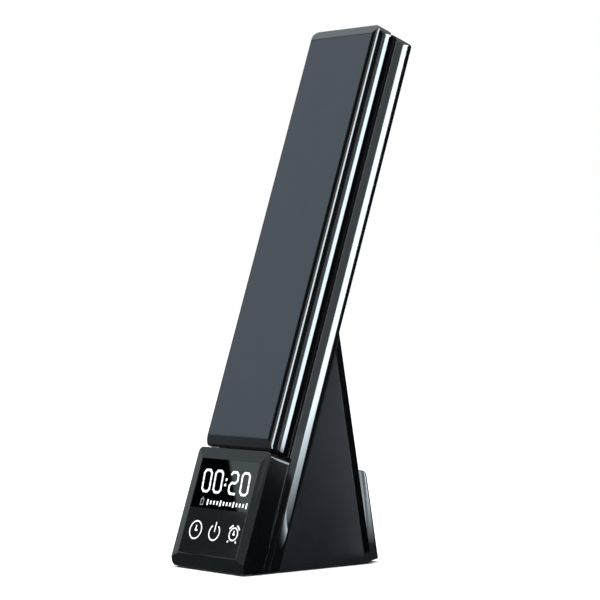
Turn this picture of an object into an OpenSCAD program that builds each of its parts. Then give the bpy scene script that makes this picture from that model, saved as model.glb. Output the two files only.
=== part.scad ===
// Folding desk lamp: a long lamp head folded down over a leaning arm, a clock box at the arm's
// foot and a wedge leg behind it. The head swings forward and up on a pin across the arm's top.
// The leaning pieces are drawn in a slab frame: x across, v from the front plane back into the
// lamp, s up along the slab from the line where the front plane meets the table.

/* [Overall] */
// Width of the arm, the clock box and the rear leg
body_w = 62; // [60:0.5:70]
// Lean of the arm and the head back from upright, in degrees
lean = 18.8; // [16:0.2:21]
// Wall of the moulded shells
wall = 2; // [1.8:0.1:2.2]
// Gap left between fixed pieces that seat in each other
fit = 0.1; // [0.05:0.05:0.15]
// Height of the rubber feet below the shells
foot_h = 0.8; // [0.6:0.1:1.2]

/* [Lamp head] */
// Width of the lamp head
head_w = 56; // [54:0.5:58]
// Thickness of the lamp head
head_t = 12.3; // [12:0.1:14]
// Length of the lamp head
head_len = 246.8; // [220:0.1:270]
// Depth of the head's cover, front to parting line
cover_t = 6.3; // [6:0.1:7]
// Width and depth of the polished bevel along the head's sides
head_bevel = 2.2; // [1.5:0.1:2.6]
// Width of the narrow facet between that bevel and the side
facet_w = 0.8; // [0.4:0.1:1.2]
// Depth of the narrow facet
facet_depth = 1.95; // [1:0.05:2.2]
// Length of the bevel at the head's lower end
low_bevel_s = 5.7; // [4.5:0.1:6.5]
// Depth of the bevel at the head's lower end
low_bevel_v = 3.6; // [3:0.1:5]
// Length of the bevel at the head's upper end
top_bevel_s = 5.8; // [4:0.1:7]
// Depth of the bevel at the head's upper end
top_bevel_v = 3; // [2:0.1:4]
// Radius of the upper corners of the head and the arm, seen from the front
slab_corner_r = 4; // [1:0.1:4.4]
// Radius of the head's lower corners, seen from the front
low_corner_r = 2; // [1:0.1:4]
// Draft of the head rim's sides
rim_draft = 0.2; // [0.1:0.05:1]
// Plain part of the head rim's sides, before the draft starts
rim_plain = 2; // [1:0.1:3]
// Bevel along the head rim's rear edges
rim_edge = 0.4; // [0.3:0.1:1.2]
// Draft of the arm's rear shell
shell_draft = 0.7; // [0.4:0.1:1.4]
// Bevel along the rear edges of the head's two ends
shell_edge = 1.2; // [0.5:0.1:1.5]
// Thickness of the satin face panel let into the cover
face_t = 1; // [0.8:0.1:1.2]
// Thickness of the cover's floor behind the face panel
cover_floor = 1.4; // [1.2:0.1:1.8]

/* [Lamp light] */
// Thickness of the diffuser
diffuser_t = 1.4; // [1:0.1:1.6]
// Width of the diffuser
diffuser_w = 49; // [47:0.5:49]
// Width of the ledge that the diffuser lies on
diffuser_ledge = 4.5; // [4.4:0.1:5]
// Thickness of the ledge
ledge_t = 2.7; // [2.2:0.1:3]
// Rim below the diffuser
light_low = 8; // [7:0.5:12]
// Rim above the diffuser, where the hinge leaf lies
light_high = 24; // [23:0.5:30]
// Thickness of the LED board
led_board_t = 1.2; // [1:0.1:1.4]
// Width of the LED board
led_board_w = 37; // [30:0.5:38]
// LEDs in each of the two rows
led_count = 14; // [8:1:15]
// Distance between the two rows of LEDs
led_row_gap = 18; // [12:0.5:24]

/* [Hinge] */
// Gap between the folded head and the arm
fold_gap = 0.9; // [0.7:0.1:1.2]
// Rise of the head's end above the hinge axis
hinge_drop = 0.8; // [0.6:0.1:1]
// Gap left between the two ends when the head stands in line with the arm
swing_gap = 0.4; // [0.4:0.1:0.8]
// Diameter of the hinge pin
pin_d = 3; // [2.5:0.1:3.2]
// Diameter of the hinge knuckles
knuckle_d = 6.4; // [6:0.1:6.8]
// Width of the head's knuckle
knuckle_w = 17.6; // [12:0.2:20]
// Width of each ear on the arm's bracket
ear_w = 6; // [4:0.2:7]
// Thickness of the hinge leaves
leaf_t = 2; // [1.6:0.1:2]
// Width of the hinge leaves
leaf_w = 32; // [31:0.5:34]
// Radial running gap on the hinge pin
pin_play = 0.03; // [0.02:0.01:0.06]

/* [Arm] */
// Thickness of the arm
arm_t = 14; // [13:0.1:15]
// Depth of the arm's front shell
arm_front_t = 6.15; // [5.9:0.05:6.5]
// Bevel along the arm's front edges
arm_bevel = 1; // [0.5:0.1:1.5]
// Plain part of the arm rear shell's sides, before the draft starts
arm_plain = 1.1; // [0.5:0.1:2]
// Width of the bevel along the arm's rear edges
arm_edge_w = 0.8; // [0.5:0.1:1.2]
// Depth of the bevel along the arm's rear edges
arm_edge_depth = 1.9; // [1:0.1:2.2]
// Bevel at the arm's rear top edge
arm_end_bevel = 2; // [1:0.1:2.5]
// Height of the charging coil's middle above the phone ledge
coil_rise = 70; // [55:1:75]
// Diameter of the charging coil
coil_d = 44; // [36:1:46]

/* [Clock box] */
// Height of the clock box along the slab, up to the phone ledge
box_h = 69; // [66:0.1:74]
// Gap between the phone ledge and the folded head
ledge_gap = 1; // [0.8:0.1:3]
// How far the box's cheeks reach back over the arm
box_wrap = 1.9; // [1.6:0.1:2.2]
// Depth of the sloping frame around the front panel
frame_depth = 1.1; // [0.9:0.1:1.6]
// Corner radius at the top of the box, seen from the front
box_corner_r = 3.4; // [2:0.1:4]
// Radius of the cheeks' rear edges, where they meet the arm
cheek_r = 1; // [0.6:0.1:1.4]
// Radius of the box's shoulder beside the arm
shoulder_r = 2.5; // [1:0.1:3]
// Start of the chin below the front panel, along the slab
chin_s = 8.8; // [8:0.1:9]
// How far the chin is set back at the table
chin_v = 3.6; // [2.5:0.1:4]
// Corner radius at the ends of the chin, seen from the front
chin_corner_r = 3; // [2:0.1:3.4]
// Width of the front panel
panel_w = 49.8; // [48.6:0.2:50.4]
// Lower edge of the front panel, along the slab
panel_low = 9.6; // [9.4:0.1:10.2]
// Width of the sloping frame above the front panel
frame_top = 6.5; // [5.5:0.1:7]
// Thickness of the front panel
panel_t = 1.5; // [1.2:0.1:1.7]
// Height of a clock digit
digit_h = 14; // [11:0.5:15]
// Width of a clock digit
digit_w = 7.8; // [6:0.2:7.8]
// Distance from one digit to the next
digit_pitch = 9.7; // [8.8:0.1:9.8]
// Width of a lit segment
segment_w = 1.5; // [1.1:0.1:1.7]
// Middle of the digits below the front panel's upper edge
digit_drop = 12.5; // [11.5:0.5:14]
// Middle of the touch keys, along the slab
key_s = 22.4; // [20:0.2:24]
// Distance from one touch key to the next
key_pitch = 16.2; // [13:0.2:16.4]
// Diameter of a touch electrode
key_d = 9; // [7:0.5:9.5]

/* [Leg and base] */
// Length of the lamp on the table, from the chin to the leg's heel
base_len = 93.4; // [90:0.1:98]
// Forward lean of the leg's rear face, in degrees
leg_lean = 10.7; // [9:0.1:12]
// Depth of the drafted band along the leg's rear edges
leg_band = 6.7; // [4:0.1:8]
// Draft of that band
leg_draft = 1.3; // [0.8:0.1:1.4]
// Bevel of the leg's rear edges
leg_edge = 1; // [0.5:0.1:1.2]
// Thickness of the base plate
base_t = 2; // [1.8:0.1:2.4]
// Width of the steel ballast
ballast_w = 40; // [30:0.5:41]
// Length of the steel ballast
ballast_len = 47; // [38:0.5:47]
// Height of the steel ballast
ballast_h = 18; // [12:0.5:18]
// Diameter of a rubber foot
foot_d = 9; // [7:0.5:10]

/* [Power inlet] */
// Width of the cover over the power inlet
inlet_w = 56; // [52:0.5:57]
// How far the cover stands out of the leg
inlet_depth = 7.4; // [7:0.1:8]
// Lower edge of the cover above the table
inlet_low = 1; // [1:0.5:4]
// Upper edge of the cover above the table
inlet_high = 52.5; // [48:0.5:56]
// Radius of the cover's side edges
inlet_r = 3; // [2:0.1:3.6]
// Radius of the cover's upper edge
inlet_top_r = 6.6; // [4:0.1:6.8]
// Height of the power socket above the table
socket_rise = 16; // [13:0.5:20]

/* [Hidden] */
$fn = 64;

// Slack for cuts that run out through a face, and the reach of cuts without an end
eps = 1;
reach = 500;
// How far the leaning outlines run on below the table, where they are cut off
tail = 62;

// Slab frame: planes through the head and the arm
half_w = body_w / 2;
head_half = head_w / 2;
arm_v0 = head_t + fold_gap;
arm_vm = arm_v0 + arm_front_t;
arm_v1 = arm_v0 + arm_t;
head_low = box_h + ledge_gap;
head_top = head_low + head_len;
hinge_v = head_t + fold_gap / 2;
hinge_s = head_top - hinge_drop;
arm_top = hinge_s - hinge_drop - swing_gap;

// Place of the slab's foot, so that the lamp's box is centred over the origin
front_y = chin_s * sin(lean);
back_y = arm_v1 * cos(lean) + (arm_top - arm_end_bevel) * sin(lean);
foot_y = -(front_y + back_y) / 2;
chin_y = foot_y + chin_v / cos(lean);
heel_y = chin_y + base_len;
chin_low = foot_h / cos(lean) + chin_v * tan(lean);

// Screws: shaft, head and head height of the four sizes used
small_screw = [2, 3.4, 1.3];
shell_screw = [2.5, 4.4, 1.6];
base_screw = [3, 5.4, 1.1];
leg_screw = [3, 5, 1.5];
screw_play = 0.1;
drive_share = 0.6;
boss_wall = 1.4;
boss_floor = 1;
inner_r = 1;

// Head: inner planes
cover_in = face_t + cover_floor;
face_margin = 0.3;
face_half = head_half - head_bevel - face_margin;
face_low = head_low + low_bevel_s + face_margin;
face_top = head_top - top_bevel_s - face_margin;
face_r = 0.4;
head_in_half = head_half - wall;
low_wall = 0.5;
head_in_low = head_low + low_bevel_s + low_wall;
top_wall = 1.5;
head_in_top = head_top - top_bevel_v - top_wall;
rim_edge_half = head_half - rim_draft - rim_edge;
facet_v = head_bevel - facet_w;
ledge_v1 = head_t - diffuser_t;
ledge_v0 = ledge_v1 - ledge_t;
diffuser_sink = 0.15;
diffuser_r = 2;
light_s0 = head_low + light_low;
light_s1 = head_top - light_high;
light_mid = (light_s0 + light_s1) / 2;
head_screw_x = diffuser_w / 2 - diffuser_ledge / 2;
head_screw_s = [light_s0 + diffuser_ledge / 2, light_mid, light_s1 - diffuser_ledge / 2];
head_screw_len = 5;
led_margin = 6;
led_s0 = light_s0 + led_margin;
led_s1 = light_s1 - led_margin;
led_pitch = (led_s1 - led_s0 - 2 * led_margin) / (led_count - 1);
led_v = cover_in + led_board_t;
led_size = [2.8, 0.7, 3.5];
reflector_t = 0.3;
led_window = 6 * fit;

// Hinge
knuckle_r = knuckle_d / 2;
notch_play = 0.5;
notch_r = knuckle_r + notch_play;
washer_t = 0.3;
washer_inset = 0.2;
washer_d = knuckle_d - 2 * washer_inset;
side_play = 0.05;
ear_x = knuckle_w / 2 + washer_t + 2 * side_play;
ear_end = ear_x + ear_w;
nut_t = 1.6;
nut_d = 5.4;
pin_end = ear_end + washer_t + 2 * side_play + nut_t;
notch_half = pin_end + 2 * notch_play;
notch_s = hinge_s - notch_r - fit;
neck_play = 0.4;
head_leaf_v = ledge_v0 - leaf_t;
leaf_gap = 3;
head_leaf_s0 = light_s1 + leaf_gap;
head_neck_len = 12;
head_neck_s = head_top - head_neck_len;
head_neck_sink = 1.3;
head_neck_v1 = head_t - head_neck_sink;
head_neck_drop = 1;
head_neck_top = hinge_s - head_neck_drop;
head_leaf_screw_x = 12;
head_leaf_inset = 4;
head_leaf_screw_s = head_leaf_s0 + head_leaf_inset;
head_leaf_screw_len = 4.6;
arm_in_v = arm_v0 + wall;
bracket_len = 28;
bracket_s0 = hinge_s - bracket_len;
bracket_s1 = arm_top - wall - neck_play;
bracket_screw_x = 11;
bracket_screw_inset = 8;
bracket_screw_s = bracket_s0 + bracket_screw_inset;
bracket_bite = 1.3;
bracket_screw_len = leaf_t + bracket_bite;
blind_floor = 0.5;
bracket_hole_v = arm_v0 + blind_floor;
ear_drop = 0.2;
ear_top = arm_top - ear_drop;
neck_sink = 1.4;
neck_v = arm_v0 + neck_sink;

// Arm: planes and inner parts
box_v1 = arm_v0 + box_wrap;
low_front_v = box_v1 + fit;
low_in_v = low_front_v + wall;
arm_step_s = box_h + fit;
rear_in_v = arm_v1 - wall;
arm_in_half = half_w - wall;
rear_in_half = half_w - shell_draft - wall;
arm_screw_x = 23.4;
arm_screw_rise = 24;
arm_screw_span = 130;
arm_screw_end = 13;
arm_screw_s = [box_h + arm_screw_rise, box_h + arm_screw_rise + arm_screw_span, arm_top - arm_screw_end];
arm_boss_rise = 1.2;
arm_boss_v = arm_vm + arm_boss_rise;
arm_head_sink = 2.5;
arm_head_v = arm_v1 - arm_head_sink;
arm_screw_len = 6.6;
coil_s = box_h + coil_rise;
coil_t = 1.2;
coil_hole_d = coil_d * 0.45;
ferrite_t = 0.8;
ferrite_lap = 2;
ferrite_d = coil_d + 2 * ferrite_lap;
board_t = 1.6;
charger_drop = 3.35;
charger_v = rear_in_v - charger_drop;
charger_w = 40;
charger_len = 36;
charger_gap = 9;
charger_s = coil_s + ferrite_d / 2 + charger_gap;
charger_inset = 4;
// Parts on the charger board: low corner and high corner as [x, s], and height
charger_chips = [[[-6, 12], [0, 18], 0.9], [[-12, 22], [-2, 27], 0.6]];

// Clock box: planes and inner parts
panel_high = box_h - frame_top;
panel_half = panel_w / 2;
cheek_steps = 6;
digit_s = panel_high - digit_drop;
panel_ledge = 1.6;
box_in_v = panel_t + panel_ledge;
box_in_half = half_w - wall;
window_half = panel_half - panel_ledge;
window_play = 0.4;
panel_r = 0.4;
pad_t = 0.4;
touch_board_t = 1;
segment_t = 0.7;
module_face_v = panel_t + segment_t;
module_t = 5;
module_back_v = module_face_v + module_t;
module_margin = 8;
module_low = digit_s - digit_h / 2 - module_margin;
module_high = panel_high - panel_ledge - window_play;
module_gap = 1;
module_pins = 10;
module_pin_pitch = 4;
module_pin_inset = 2;
module_pin_d = 0.8;
module_pin_len = 1.8;
main_board_v = module_back_v + module_pin_len;
main_board_back = main_board_v + board_t;
main_boss_inset = 3.4;
main_boss_x = box_in_half - main_boss_inset;
module_half = min(window_half - window_play, main_boss_x - small_screw[0] / 2 - module_gap);
main_boss_rise = 9;
main_boss_drop = 4.5;
main_boss_s = [panel_low + main_boss_rise, panel_high - main_boss_drop];
main_board_lap = 2;
main_board_w = 2 * main_boss_x + 2 * main_board_lap;
main_board_margin = 2.4;
housing_screw_inset = 3;
housing_screw_x = box_in_half - housing_screw_inset;
housing_screw_s = (panel_low + panel_high) / 2;
housing_boss_gap = 0.3;
housing_boss_v = main_board_back + housing_boss_gap;
housing_bite = 4;
housing_screw_len = wall + housing_bite;
main_screw_len = 5;
charger_screw_len = 4;
power_tip_gap = 0.4;
power_screw_len = board_t + wall - power_tip_gap;
digit_gap = 3.4;
digit_shift = 1.15;
segment_gap = 0.15;
colon_rise = 2.6;
digit_slots = [-1.5 * digit_pitch - digit_gap / 2, -0.5 * digit_pitch - digit_gap / 2,
  0.5 * digit_pitch + digit_gap / 2, 1.5 * digit_pitch + digit_gap / 2];
// Lit segments of each digit: top, upper left, upper right, middle, lower left, lower right, bottom
digit_zero = [1, 1, 1, 0, 1, 1, 1];
digit_two = [1, 0, 1, 1, 1, 0, 1];
digits = [digit_zero, digit_zero, digit_two, digit_zero];
key_shift = 1.5;
key_x = [key_shift - key_pitch, key_shift, key_shift + key_pitch];
buzzer_d = 9.6;
buzzer_t = 3.8;
buzzer_rise = 10;
buzzer_s = housing_screw_s + buzzer_rise;
buzzer_hole_d = 1.6;
cell_d = 12.4;
cell_t = 2.2;
cell_drop = 8;
cell_s = housing_screw_s - cell_drop;
cell_inset = 13.6;
cell_x = main_board_w / 2 - cell_inset;
buzzer_x = -cell_x;

// Leg and base
leg_in_half = half_w - wall;
leg_front_v = arm_v1 + fit;
base_top = foot_h + base_t;
base_inset = 0.4;
base_half = leg_in_half - base_inset;
base_front_gap = 1;
base_front = chin_y + wall + base_front_gap;
base_back_gap = 1.2;
base_back = heel_y - wall - base_back_gap;
base_screw_inset = 3.6;
base_screw_x = base_half - base_screw_inset;
base_screw_front = 11.4;
base_screw_rear = 25;
base_screw_y = [foot_y + base_screw_front, heel_y - base_screw_rear];
base_boss_h = 7;
base_screw_len = 6;
ballast_gap = 1;
ballast_y0 = foot_y + leg_front_v / cos(lean) + (base_top + ballast_h) * tan(lean)
  + wall + ballast_gap;
foot_pocket = 0.6;
foot_inset = 2;
foot_x = base_half - foot_d / 2 - foot_inset;
foot_front = 21;
foot_rear = 10;
foot_y_places = [foot_y + foot_front, heel_y - foot_rear];
leg_screw_x = 18;
leg_screw_drop = 23;
leg_screw_span = 53;
leg_screw_s = [box_h - leg_screw_drop, box_h - leg_screw_drop + leg_screw_span];
leg_boss_len = 6;
leg_screw_len = 7;
lead_hole_d = 7;
lead_s = 40;
lead_d = 3;
bend_swell = 1.06;
lamp_lead_d = 2.2;
lamp_lead_x = 8;
lamp_lead_s = 53;
lead_clear = 0.3;
lamp_lead_v = arm_in_v + coil_t + ferrite_t + lamp_lead_d / 2 + lead_clear;
// The power lead turns level behind the arm and crosses the leg over the ballast
lead_turn_gap = 4;
lead_turn_v = leg_front_v + wall + lead_turn_gap;
lead_level = slab_point(0, lead_turn_v, lead_s)[2];
lead_back_t = lead_level / cos(leg_lean);

// Power inlet, in a frame on the leg's rear face: d outwards, t up along the face
inlet_wall = 2;
inlet_min_r = 0.5;
power_board_w = 36;
power_board_gap = 1;
power_board_low = inlet_low + inlet_wall + power_board_gap;
power_board_drop = 9;
power_board_high = inlet_high - inlet_wall - power_board_drop;
power_screw_x = 14;
power_screw_inset = 4;
power_screw_t = power_board_high - power_screw_inset;
socket_w = 8.94;
socket_h = 3.16;
socket_wall = 0.3;
socket_recess = 0.4;
socket_play = 0.2;
socket_floor = 1;
tongue_recess = 1;
tongue_w = 6.7;
tongue_h = 0.7;
cover_screw_inset = 5;
cover_screw_x = inlet_w / 2 - cover_screw_inset;
cover_screw_t = 32;
cover_boss_d = 5;
cover_tip_gap = 1.5;
cover_screw_len = wall + cover_boss_d - cover_tip_gap;

// Places pieces drawn in the slab frame
module leaned() {
  translate([0, foot_y, 0]) rotate([-lean, 0, 0]) children();
}

// Places pieces drawn in the frame on the leg's rear face
module on_leg_back() {
  translate([0, heel_y, 0]) rotate([leg_lean, 0, 0]) children();
}

// Cuts off what lies below the shells' lower edge
module above_table() {
  difference() {
    children();
    translate([-reach / 2, -reach / 2, -reach]) cube([reach, reach, reach + foot_h]);
  }
}

// Side outline, given as [v, s], carried across the width
module across(w) {
  rotate([90, 0, 90]) linear_extrude(w, center = true) children();
}

// Front outline, given as [x, s], carried from v0 to v1
module through(v0, v1) {
  translate([0, v1, 0]) rotate([90, 0, 0]) linear_extrude(v1 - v0) children();
}

// Plan outline, given as [x, v], carried along the slab
module along(s0, s1) {
  translate([0, 0, s0]) linear_extrude(s1 - s0) children();
}

// Block from its low to its high corner
module block(low, high) {
  translate(low) cube(high - low);
}

// Round bar along v
module bar_v(x, s, d, v0, v1) {
  translate([x, v0, s]) rotate([-90, 0, 0]) cylinder(h = v1 - v0, d = d);
}

// Round bar along x
module bar_x(v, s, d, x0, x1) {
  translate([x0, v, s]) rotate([0, 90, 0]) cylinder(h = x1 - x0, d = d);
}

// Outline with its upper corners rounded, from s0 up to s1
module round_top(half, s0, s1, r) {
  translate([-half, s0]) square([2 * half, s1 - s0 - r]);
  translate([-half + r, s0]) square([2 * (half - r), s1 - s0]);
  for (side = [-1, 1]) translate([side * (half - r), s1 - r]) circle(r);
}

// Outline with its lower corners rounded by r0 and its upper corners by r1
module round_ends(half, s0, s1, r0, r1) {
  round_top(half, s0 + r0, s1, r1);
  translate([-half + r0, s0]) square([2 * (half - r0), 2 * r0]);
  for (side = [-1, 1]) translate([side * (half - r0), s0 + r0]) circle(r0);
}

// Outline with all four corners rounded
module round_rect(half, s0, s1, r) {
  translate([-half, s0 + r]) square([2 * half, s1 - s0 - 2 * r]);
  translate([-half + r, s0]) square([2 * (half - r), s1 - s0]);
  for (side = [-1, 1], s = [s0 + r, s1 - r]) translate([side * (half - r), s]) circle(r);
}

// Slot outline with round ends, on its own middle
module slot(w, h) {
  square([w - h, h], center = true);
  for (side = [-1, 1]) translate([side * (w - h) / 2, 0]) circle(d = h);
}

// Screw along v: the head seats at seat_v and the shaft runs towards the side given by way
module screw_v(x, s, size, seat_v, len, way) {
  shaft_v = seat_v + way * len;
  head_v = seat_v - way * size[2];
  bar_v(x, s, size[0], min(seat_v, shaft_v), max(seat_v, shaft_v));
  difference() {
    bar_v(x, s, size[1], min(seat_v, head_v), max(seat_v, head_v));
    bar_v(x, s, size[0] * drive_share, head_v - size[2] / 2, head_v + size[2] / 2);
  }
}

// Outer form of the whole head
module head_form() {
  intersection() {
    along(head_low, head_top) polygon([
      [-head_half + head_bevel, 0], [head_half - head_bevel, 0], [head_half - facet_w, facet_v],
      [head_half, facet_v + facet_depth], [head_half, cover_t + rim_plain],
      [head_half - rim_draft, head_t - rim_edge], [rim_edge_half, head_t],
      [-rim_edge_half, head_t], [-head_half + rim_draft, head_t - rim_edge],
      [-head_half, cover_t + rim_plain], [-head_half, facet_v + facet_depth],
      [-head_half + facet_w, facet_v]]);
    across(head_w) polygon([
      [0, head_low + low_bevel_s], [0, head_top - top_bevel_s], [top_bevel_v, head_top],
      [head_t - shell_edge, head_top], [head_t, head_top - shell_edge], [head_t, head_low + shell_edge],
      [head_t - shell_edge, head_low], [low_bevel_v, head_low]]);
    through(0, head_t) round_ends(head_half, head_low, head_top, low_corner_r, slab_corner_r);
  }
}

module head_cover() {
  color("#1b1c1e") leaned() difference() {
    union() {
      difference() {
        intersection() {
          head_form();
          block([-head_w, -eps, 0], [head_w, cover_t, reach]);
        }
        through(cover_in, cover_t + eps) round_rect(head_in_half, head_in_low, head_in_top, inner_r);
      }
      for (side = [-1, 1], s = head_screw_s)
        bar_v(side * head_screw_x, s, small_screw[0] + 2 * boss_wall, cover_in, ledge_v0);
      for (side = [-1, 1])
        bar_v(side * head_leaf_screw_x, head_leaf_screw_s, shell_screw[0] + 2 * boss_wall,
          cover_in, head_leaf_v);
    }
    block([-face_half, -eps, face_low], [face_half, face_t, face_top]);
    for (side = [-1, 1], s = head_screw_s)
      bar_v(side * head_screw_x, s, small_screw[0] + screw_play, cover_in + 1, ledge_v0 + eps);
    for (side = [-1, 1])
      bar_v(side * head_leaf_screw_x, head_leaf_screw_s, shell_screw[0] + screw_play,
        cover_in, head_leaf_v + eps);
  }
}

module head_face_panel() {
  color("#4a5259") leaned() through(0, face_t)
    round_rect(face_half - fit, face_low + fit, face_top - fit, face_r);
}

module head_rim() {
  color("#141517") leaned() difference() {
    intersection() {
      head_form();
      block([-head_w, cover_t, 0], [head_w, head_t + eps, reach]);
    }
    through(cover_t - eps, ledge_v0)
      round_rect(head_in_half - shell_draft, head_in_low, head_in_top, inner_r);
    through(ledge_v0 - eps, head_t + eps) round_rect(diffuser_w / 2 - diffuser_ledge,
      light_s0 + diffuser_ledge, light_s1 - diffuser_ledge, inner_r);
    through(ledge_v1, head_t + eps)
      round_rect(diffuser_w / 2 + fit, light_s0 - fit, light_s1 + fit, diffuser_r);
    for (side = [-1, 1], s = head_screw_s) {
      bar_v(side * head_screw_x, s, small_screw[0] + 2 * screw_play, ledge_v0 - eps, ledge_v1 + eps);
      bar_v(side * head_screw_x, s, small_screw[1] + 2 * screw_play,
        ledge_v1 - small_screw[2] - fit, ledge_v1 + eps);
    }
    for (side = [-1, 1])
      bar_v(side * head_leaf_screw_x, head_leaf_screw_s, shell_screw[1] + 4 * screw_play,
        ledge_v0 - eps, ledge_v0 + shell_screw[2] + fit);
    bar_x(hinge_v, hinge_s, 2 * notch_r, -notch_half, notch_half);
    block([-knuckle_w / 2 - neck_play, ledge_v0 - eps, head_neck_s - neck_play],
      [knuckle_w / 2 + neck_play, head_neck_v1 + neck_play, head_neck_top + neck_play]);
  }
}

module light_diffuser() {
  color("#eef0ee") leaned() through(ledge_v1, head_t - diffuser_sink)
    round_rect(diffuser_w / 2, light_s0, light_s1, diffuser_r);
}

module reflector_sheet() {
  color("white") leaned() difference() {
    block([-led_board_w / 2, led_v, led_s0], [led_board_w / 2, led_v + reflector_t, led_s1]);
    led_places() translate([0, led_v + reflector_t / 2, 0])
      cube([led_size[0] + led_window, 2 * eps, led_size[2] + led_window], center = true);
  }
}

module led_board() {
  color("gainsboro") leaned()
    block([-led_board_w / 2, cover_in, led_s0], [led_board_w / 2, led_v, led_s1]);
}

// Repeats its child at the middle of each LED, in two rows
module led_places() {
  for (side = [-1, 1], i = [0 : led_count - 1])
    translate([side * led_row_gap / 2, 0, led_s0 + led_margin + i * led_pitch]) children();
}

module led_chips() {
  color("khaki") leaned() led_places()
    translate([0, led_v + led_size[1] / 2, 0]) cube(led_size, center = true);
}

module head_screws() {
  color("silver") leaned() for (side = [-1, 1], s = head_screw_s)
    screw_v(side * head_screw_x, s, small_screw, ledge_v1 - small_screw[2] - fit, head_screw_len, -1);
}

module head_hinge_leaf() {
  color("slategray") leaned() difference() {
    union() {
      block([-leaf_w / 2, head_leaf_v, head_leaf_s0], [leaf_w / 2, ledge_v0, head_in_top - fit]);
      block([-knuckle_w / 2, ledge_v0 - leaf_t / 2, head_neck_s],
        [knuckle_w / 2, head_neck_v1, head_neck_top]);
      bar_x(hinge_v, hinge_s, knuckle_d, -knuckle_w / 2, knuckle_w / 2);
    }
    bar_x(hinge_v, hinge_s, pin_d + 2 * pin_play, -knuckle_w, knuckle_w);
    for (side = [-1, 1])
      bar_v(side * head_leaf_screw_x, head_leaf_screw_s, shell_screw[0] + 2 * screw_play,
        head_leaf_v - eps, ledge_v0 + eps);
    block([-knuckle_w, ledge_v0 - leaf_t, head_in_top - fit], [knuckle_w, ledge_v0, head_top]);
  }
}

module head_leaf_screws() {
  color("silver") leaned() for (side = [-1, 1])
    screw_v(side * head_leaf_screw_x, head_leaf_screw_s, shell_screw, ledge_v0, head_leaf_screw_len, -1);
}

// Outer form of the whole arm
module arm_form() {
  intersection() {
    along(-tail, arm_top) polygon([
      [-half_w + arm_bevel, arm_v0], [half_w - arm_bevel, arm_v0], [half_w, arm_v0 + arm_bevel],
      [half_w, arm_vm + arm_plain], [half_w - shell_draft, arm_v1 - arm_edge_depth],
      [half_w - shell_draft - arm_edge_w, arm_v1], [-half_w + shell_draft + arm_edge_w, arm_v1],
      [-half_w + shell_draft, arm_v1 - arm_edge_depth], [-half_w, arm_vm + arm_plain],
      [-half_w, arm_v0 + arm_bevel]]);
    across(body_w) polygon([[arm_v0, -tail], [arm_v0, arm_top], [arm_v1 - arm_end_bevel, arm_top],
      [arm_v1, arm_top - arm_end_bevel], [arm_v1, -tail]]);
    through(arm_v0, arm_v1) round_top(half_w, -tail, arm_top, slab_corner_r);
  }
}

// Space that the base plate takes out of the shells standing around it
module base_pocket() {
  block([-base_half - fit, base_front - fit, -eps], [base_half + fit, base_back + fit, base_top + fit]);
}

module arm_front_shell() {
  color("#17181a") difference() {
    above_table() leaned() difference() {
      union() {
        difference() {
          intersection() {
            arm_form();
            block([-body_w, 0, -reach], [body_w, arm_vm, reach]);
          }
          block([-body_w, 0, -reach], [body_w, low_front_v, arm_step_s]);
          across(2 * arm_in_half) polygon([[arm_in_v, arm_step_s + wall], [arm_in_v, arm_top - wall],
            [arm_vm + eps, arm_top - wall], [arm_vm + eps, -tail], [low_in_v, -tail],
            [low_in_v, arm_step_s + wall]]);
        }
        for (side = [-1, 1], s = arm_screw_s)
          bar_v(side * arm_screw_x, s, shell_screw[0] + 2 * boss_wall, arm_in_v - eps / 2, arm_boss_v);
      }
      for (side = [-1, 1], s = arm_screw_s)
        bar_v(side * arm_screw_x, s, shell_screw[0] + screw_play, arm_in_v, arm_boss_v + eps);
      block([-notch_half, 0, notch_s], [notch_half, arm_in_v + leaf_t + neck_play, reach]);
      for (side = [-1, 1]) {
        bar_v(side * bracket_screw_x, bracket_screw_s, shell_screw[0] + screw_play, bracket_hole_v, arm_vm);
        bar_v(side * housing_screw_x, housing_screw_s, shell_screw[0] + 2 * screw_play, 0, arm_vm);
      }
      bar_v(0, lead_s, lead_hole_d, 0, arm_vm);
      bar_v(lamp_lead_x, lamp_lead_s, lead_hole_d, 0, arm_vm);
    }
    base_pocket();
  }
}

module arm_rear_shell() {
  color("#141517") difference() {
    above_table() leaned() difference() {
      union() {
        difference() {
          intersection() {
            arm_form();
            block([-body_w, arm_vm, -reach], [body_w, arm_v1 + eps, reach]);
          }
          across(2 * rear_in_half) polygon([[arm_vm - eps, -tail], [arm_vm - eps, arm_top - wall],
            [rear_in_v - arm_end_bevel, arm_top - wall], [rear_in_v, arm_top - wall - arm_end_bevel],
            [rear_in_v, -tail]]);
        }
        for (side = [-1, 1], s = arm_screw_s)
          bar_v(side * arm_screw_x, s, shell_screw[1] + 2 * boss_wall, arm_boss_v + fit, arm_v1 - eps);
        charger_places()
          bar_v(0, 0, small_screw[0] + 2 * boss_wall, charger_v + board_t, rear_in_v + eps / 2);
      }
      for (side = [-1, 1], s = arm_screw_s) {
        bar_v(side * arm_screw_x, s, shell_screw[0] + 2 * screw_play, arm_vm, arm_v1 + eps);
        bar_v(side * arm_screw_x, s, shell_screw[1] + 4 * screw_play, arm_head_v, arm_v1 + eps);
      }
      charger_places() bar_v(0, 0, small_screw[0] + screw_play, arm_vm, rear_in_v + wall / 2);
      for (side = [-1, 1], s = leg_screw_s)
        bar_v(side * leg_screw_x, s, leg_screw[0] + 2 * screw_play, arm_vm, arm_v1 + eps);
      bar_v(0, lead_s, lead_hole_d, arm_vm, arm_v1 + eps);
    }
    base_pocket();
  }
}

module arm_screws() {
  color("silver") leaned() for (side = [-1, 1], s = arm_screw_s)
    screw_v(side * arm_screw_x, s, shell_screw, arm_head_v, arm_screw_len, -1);
}

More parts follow.
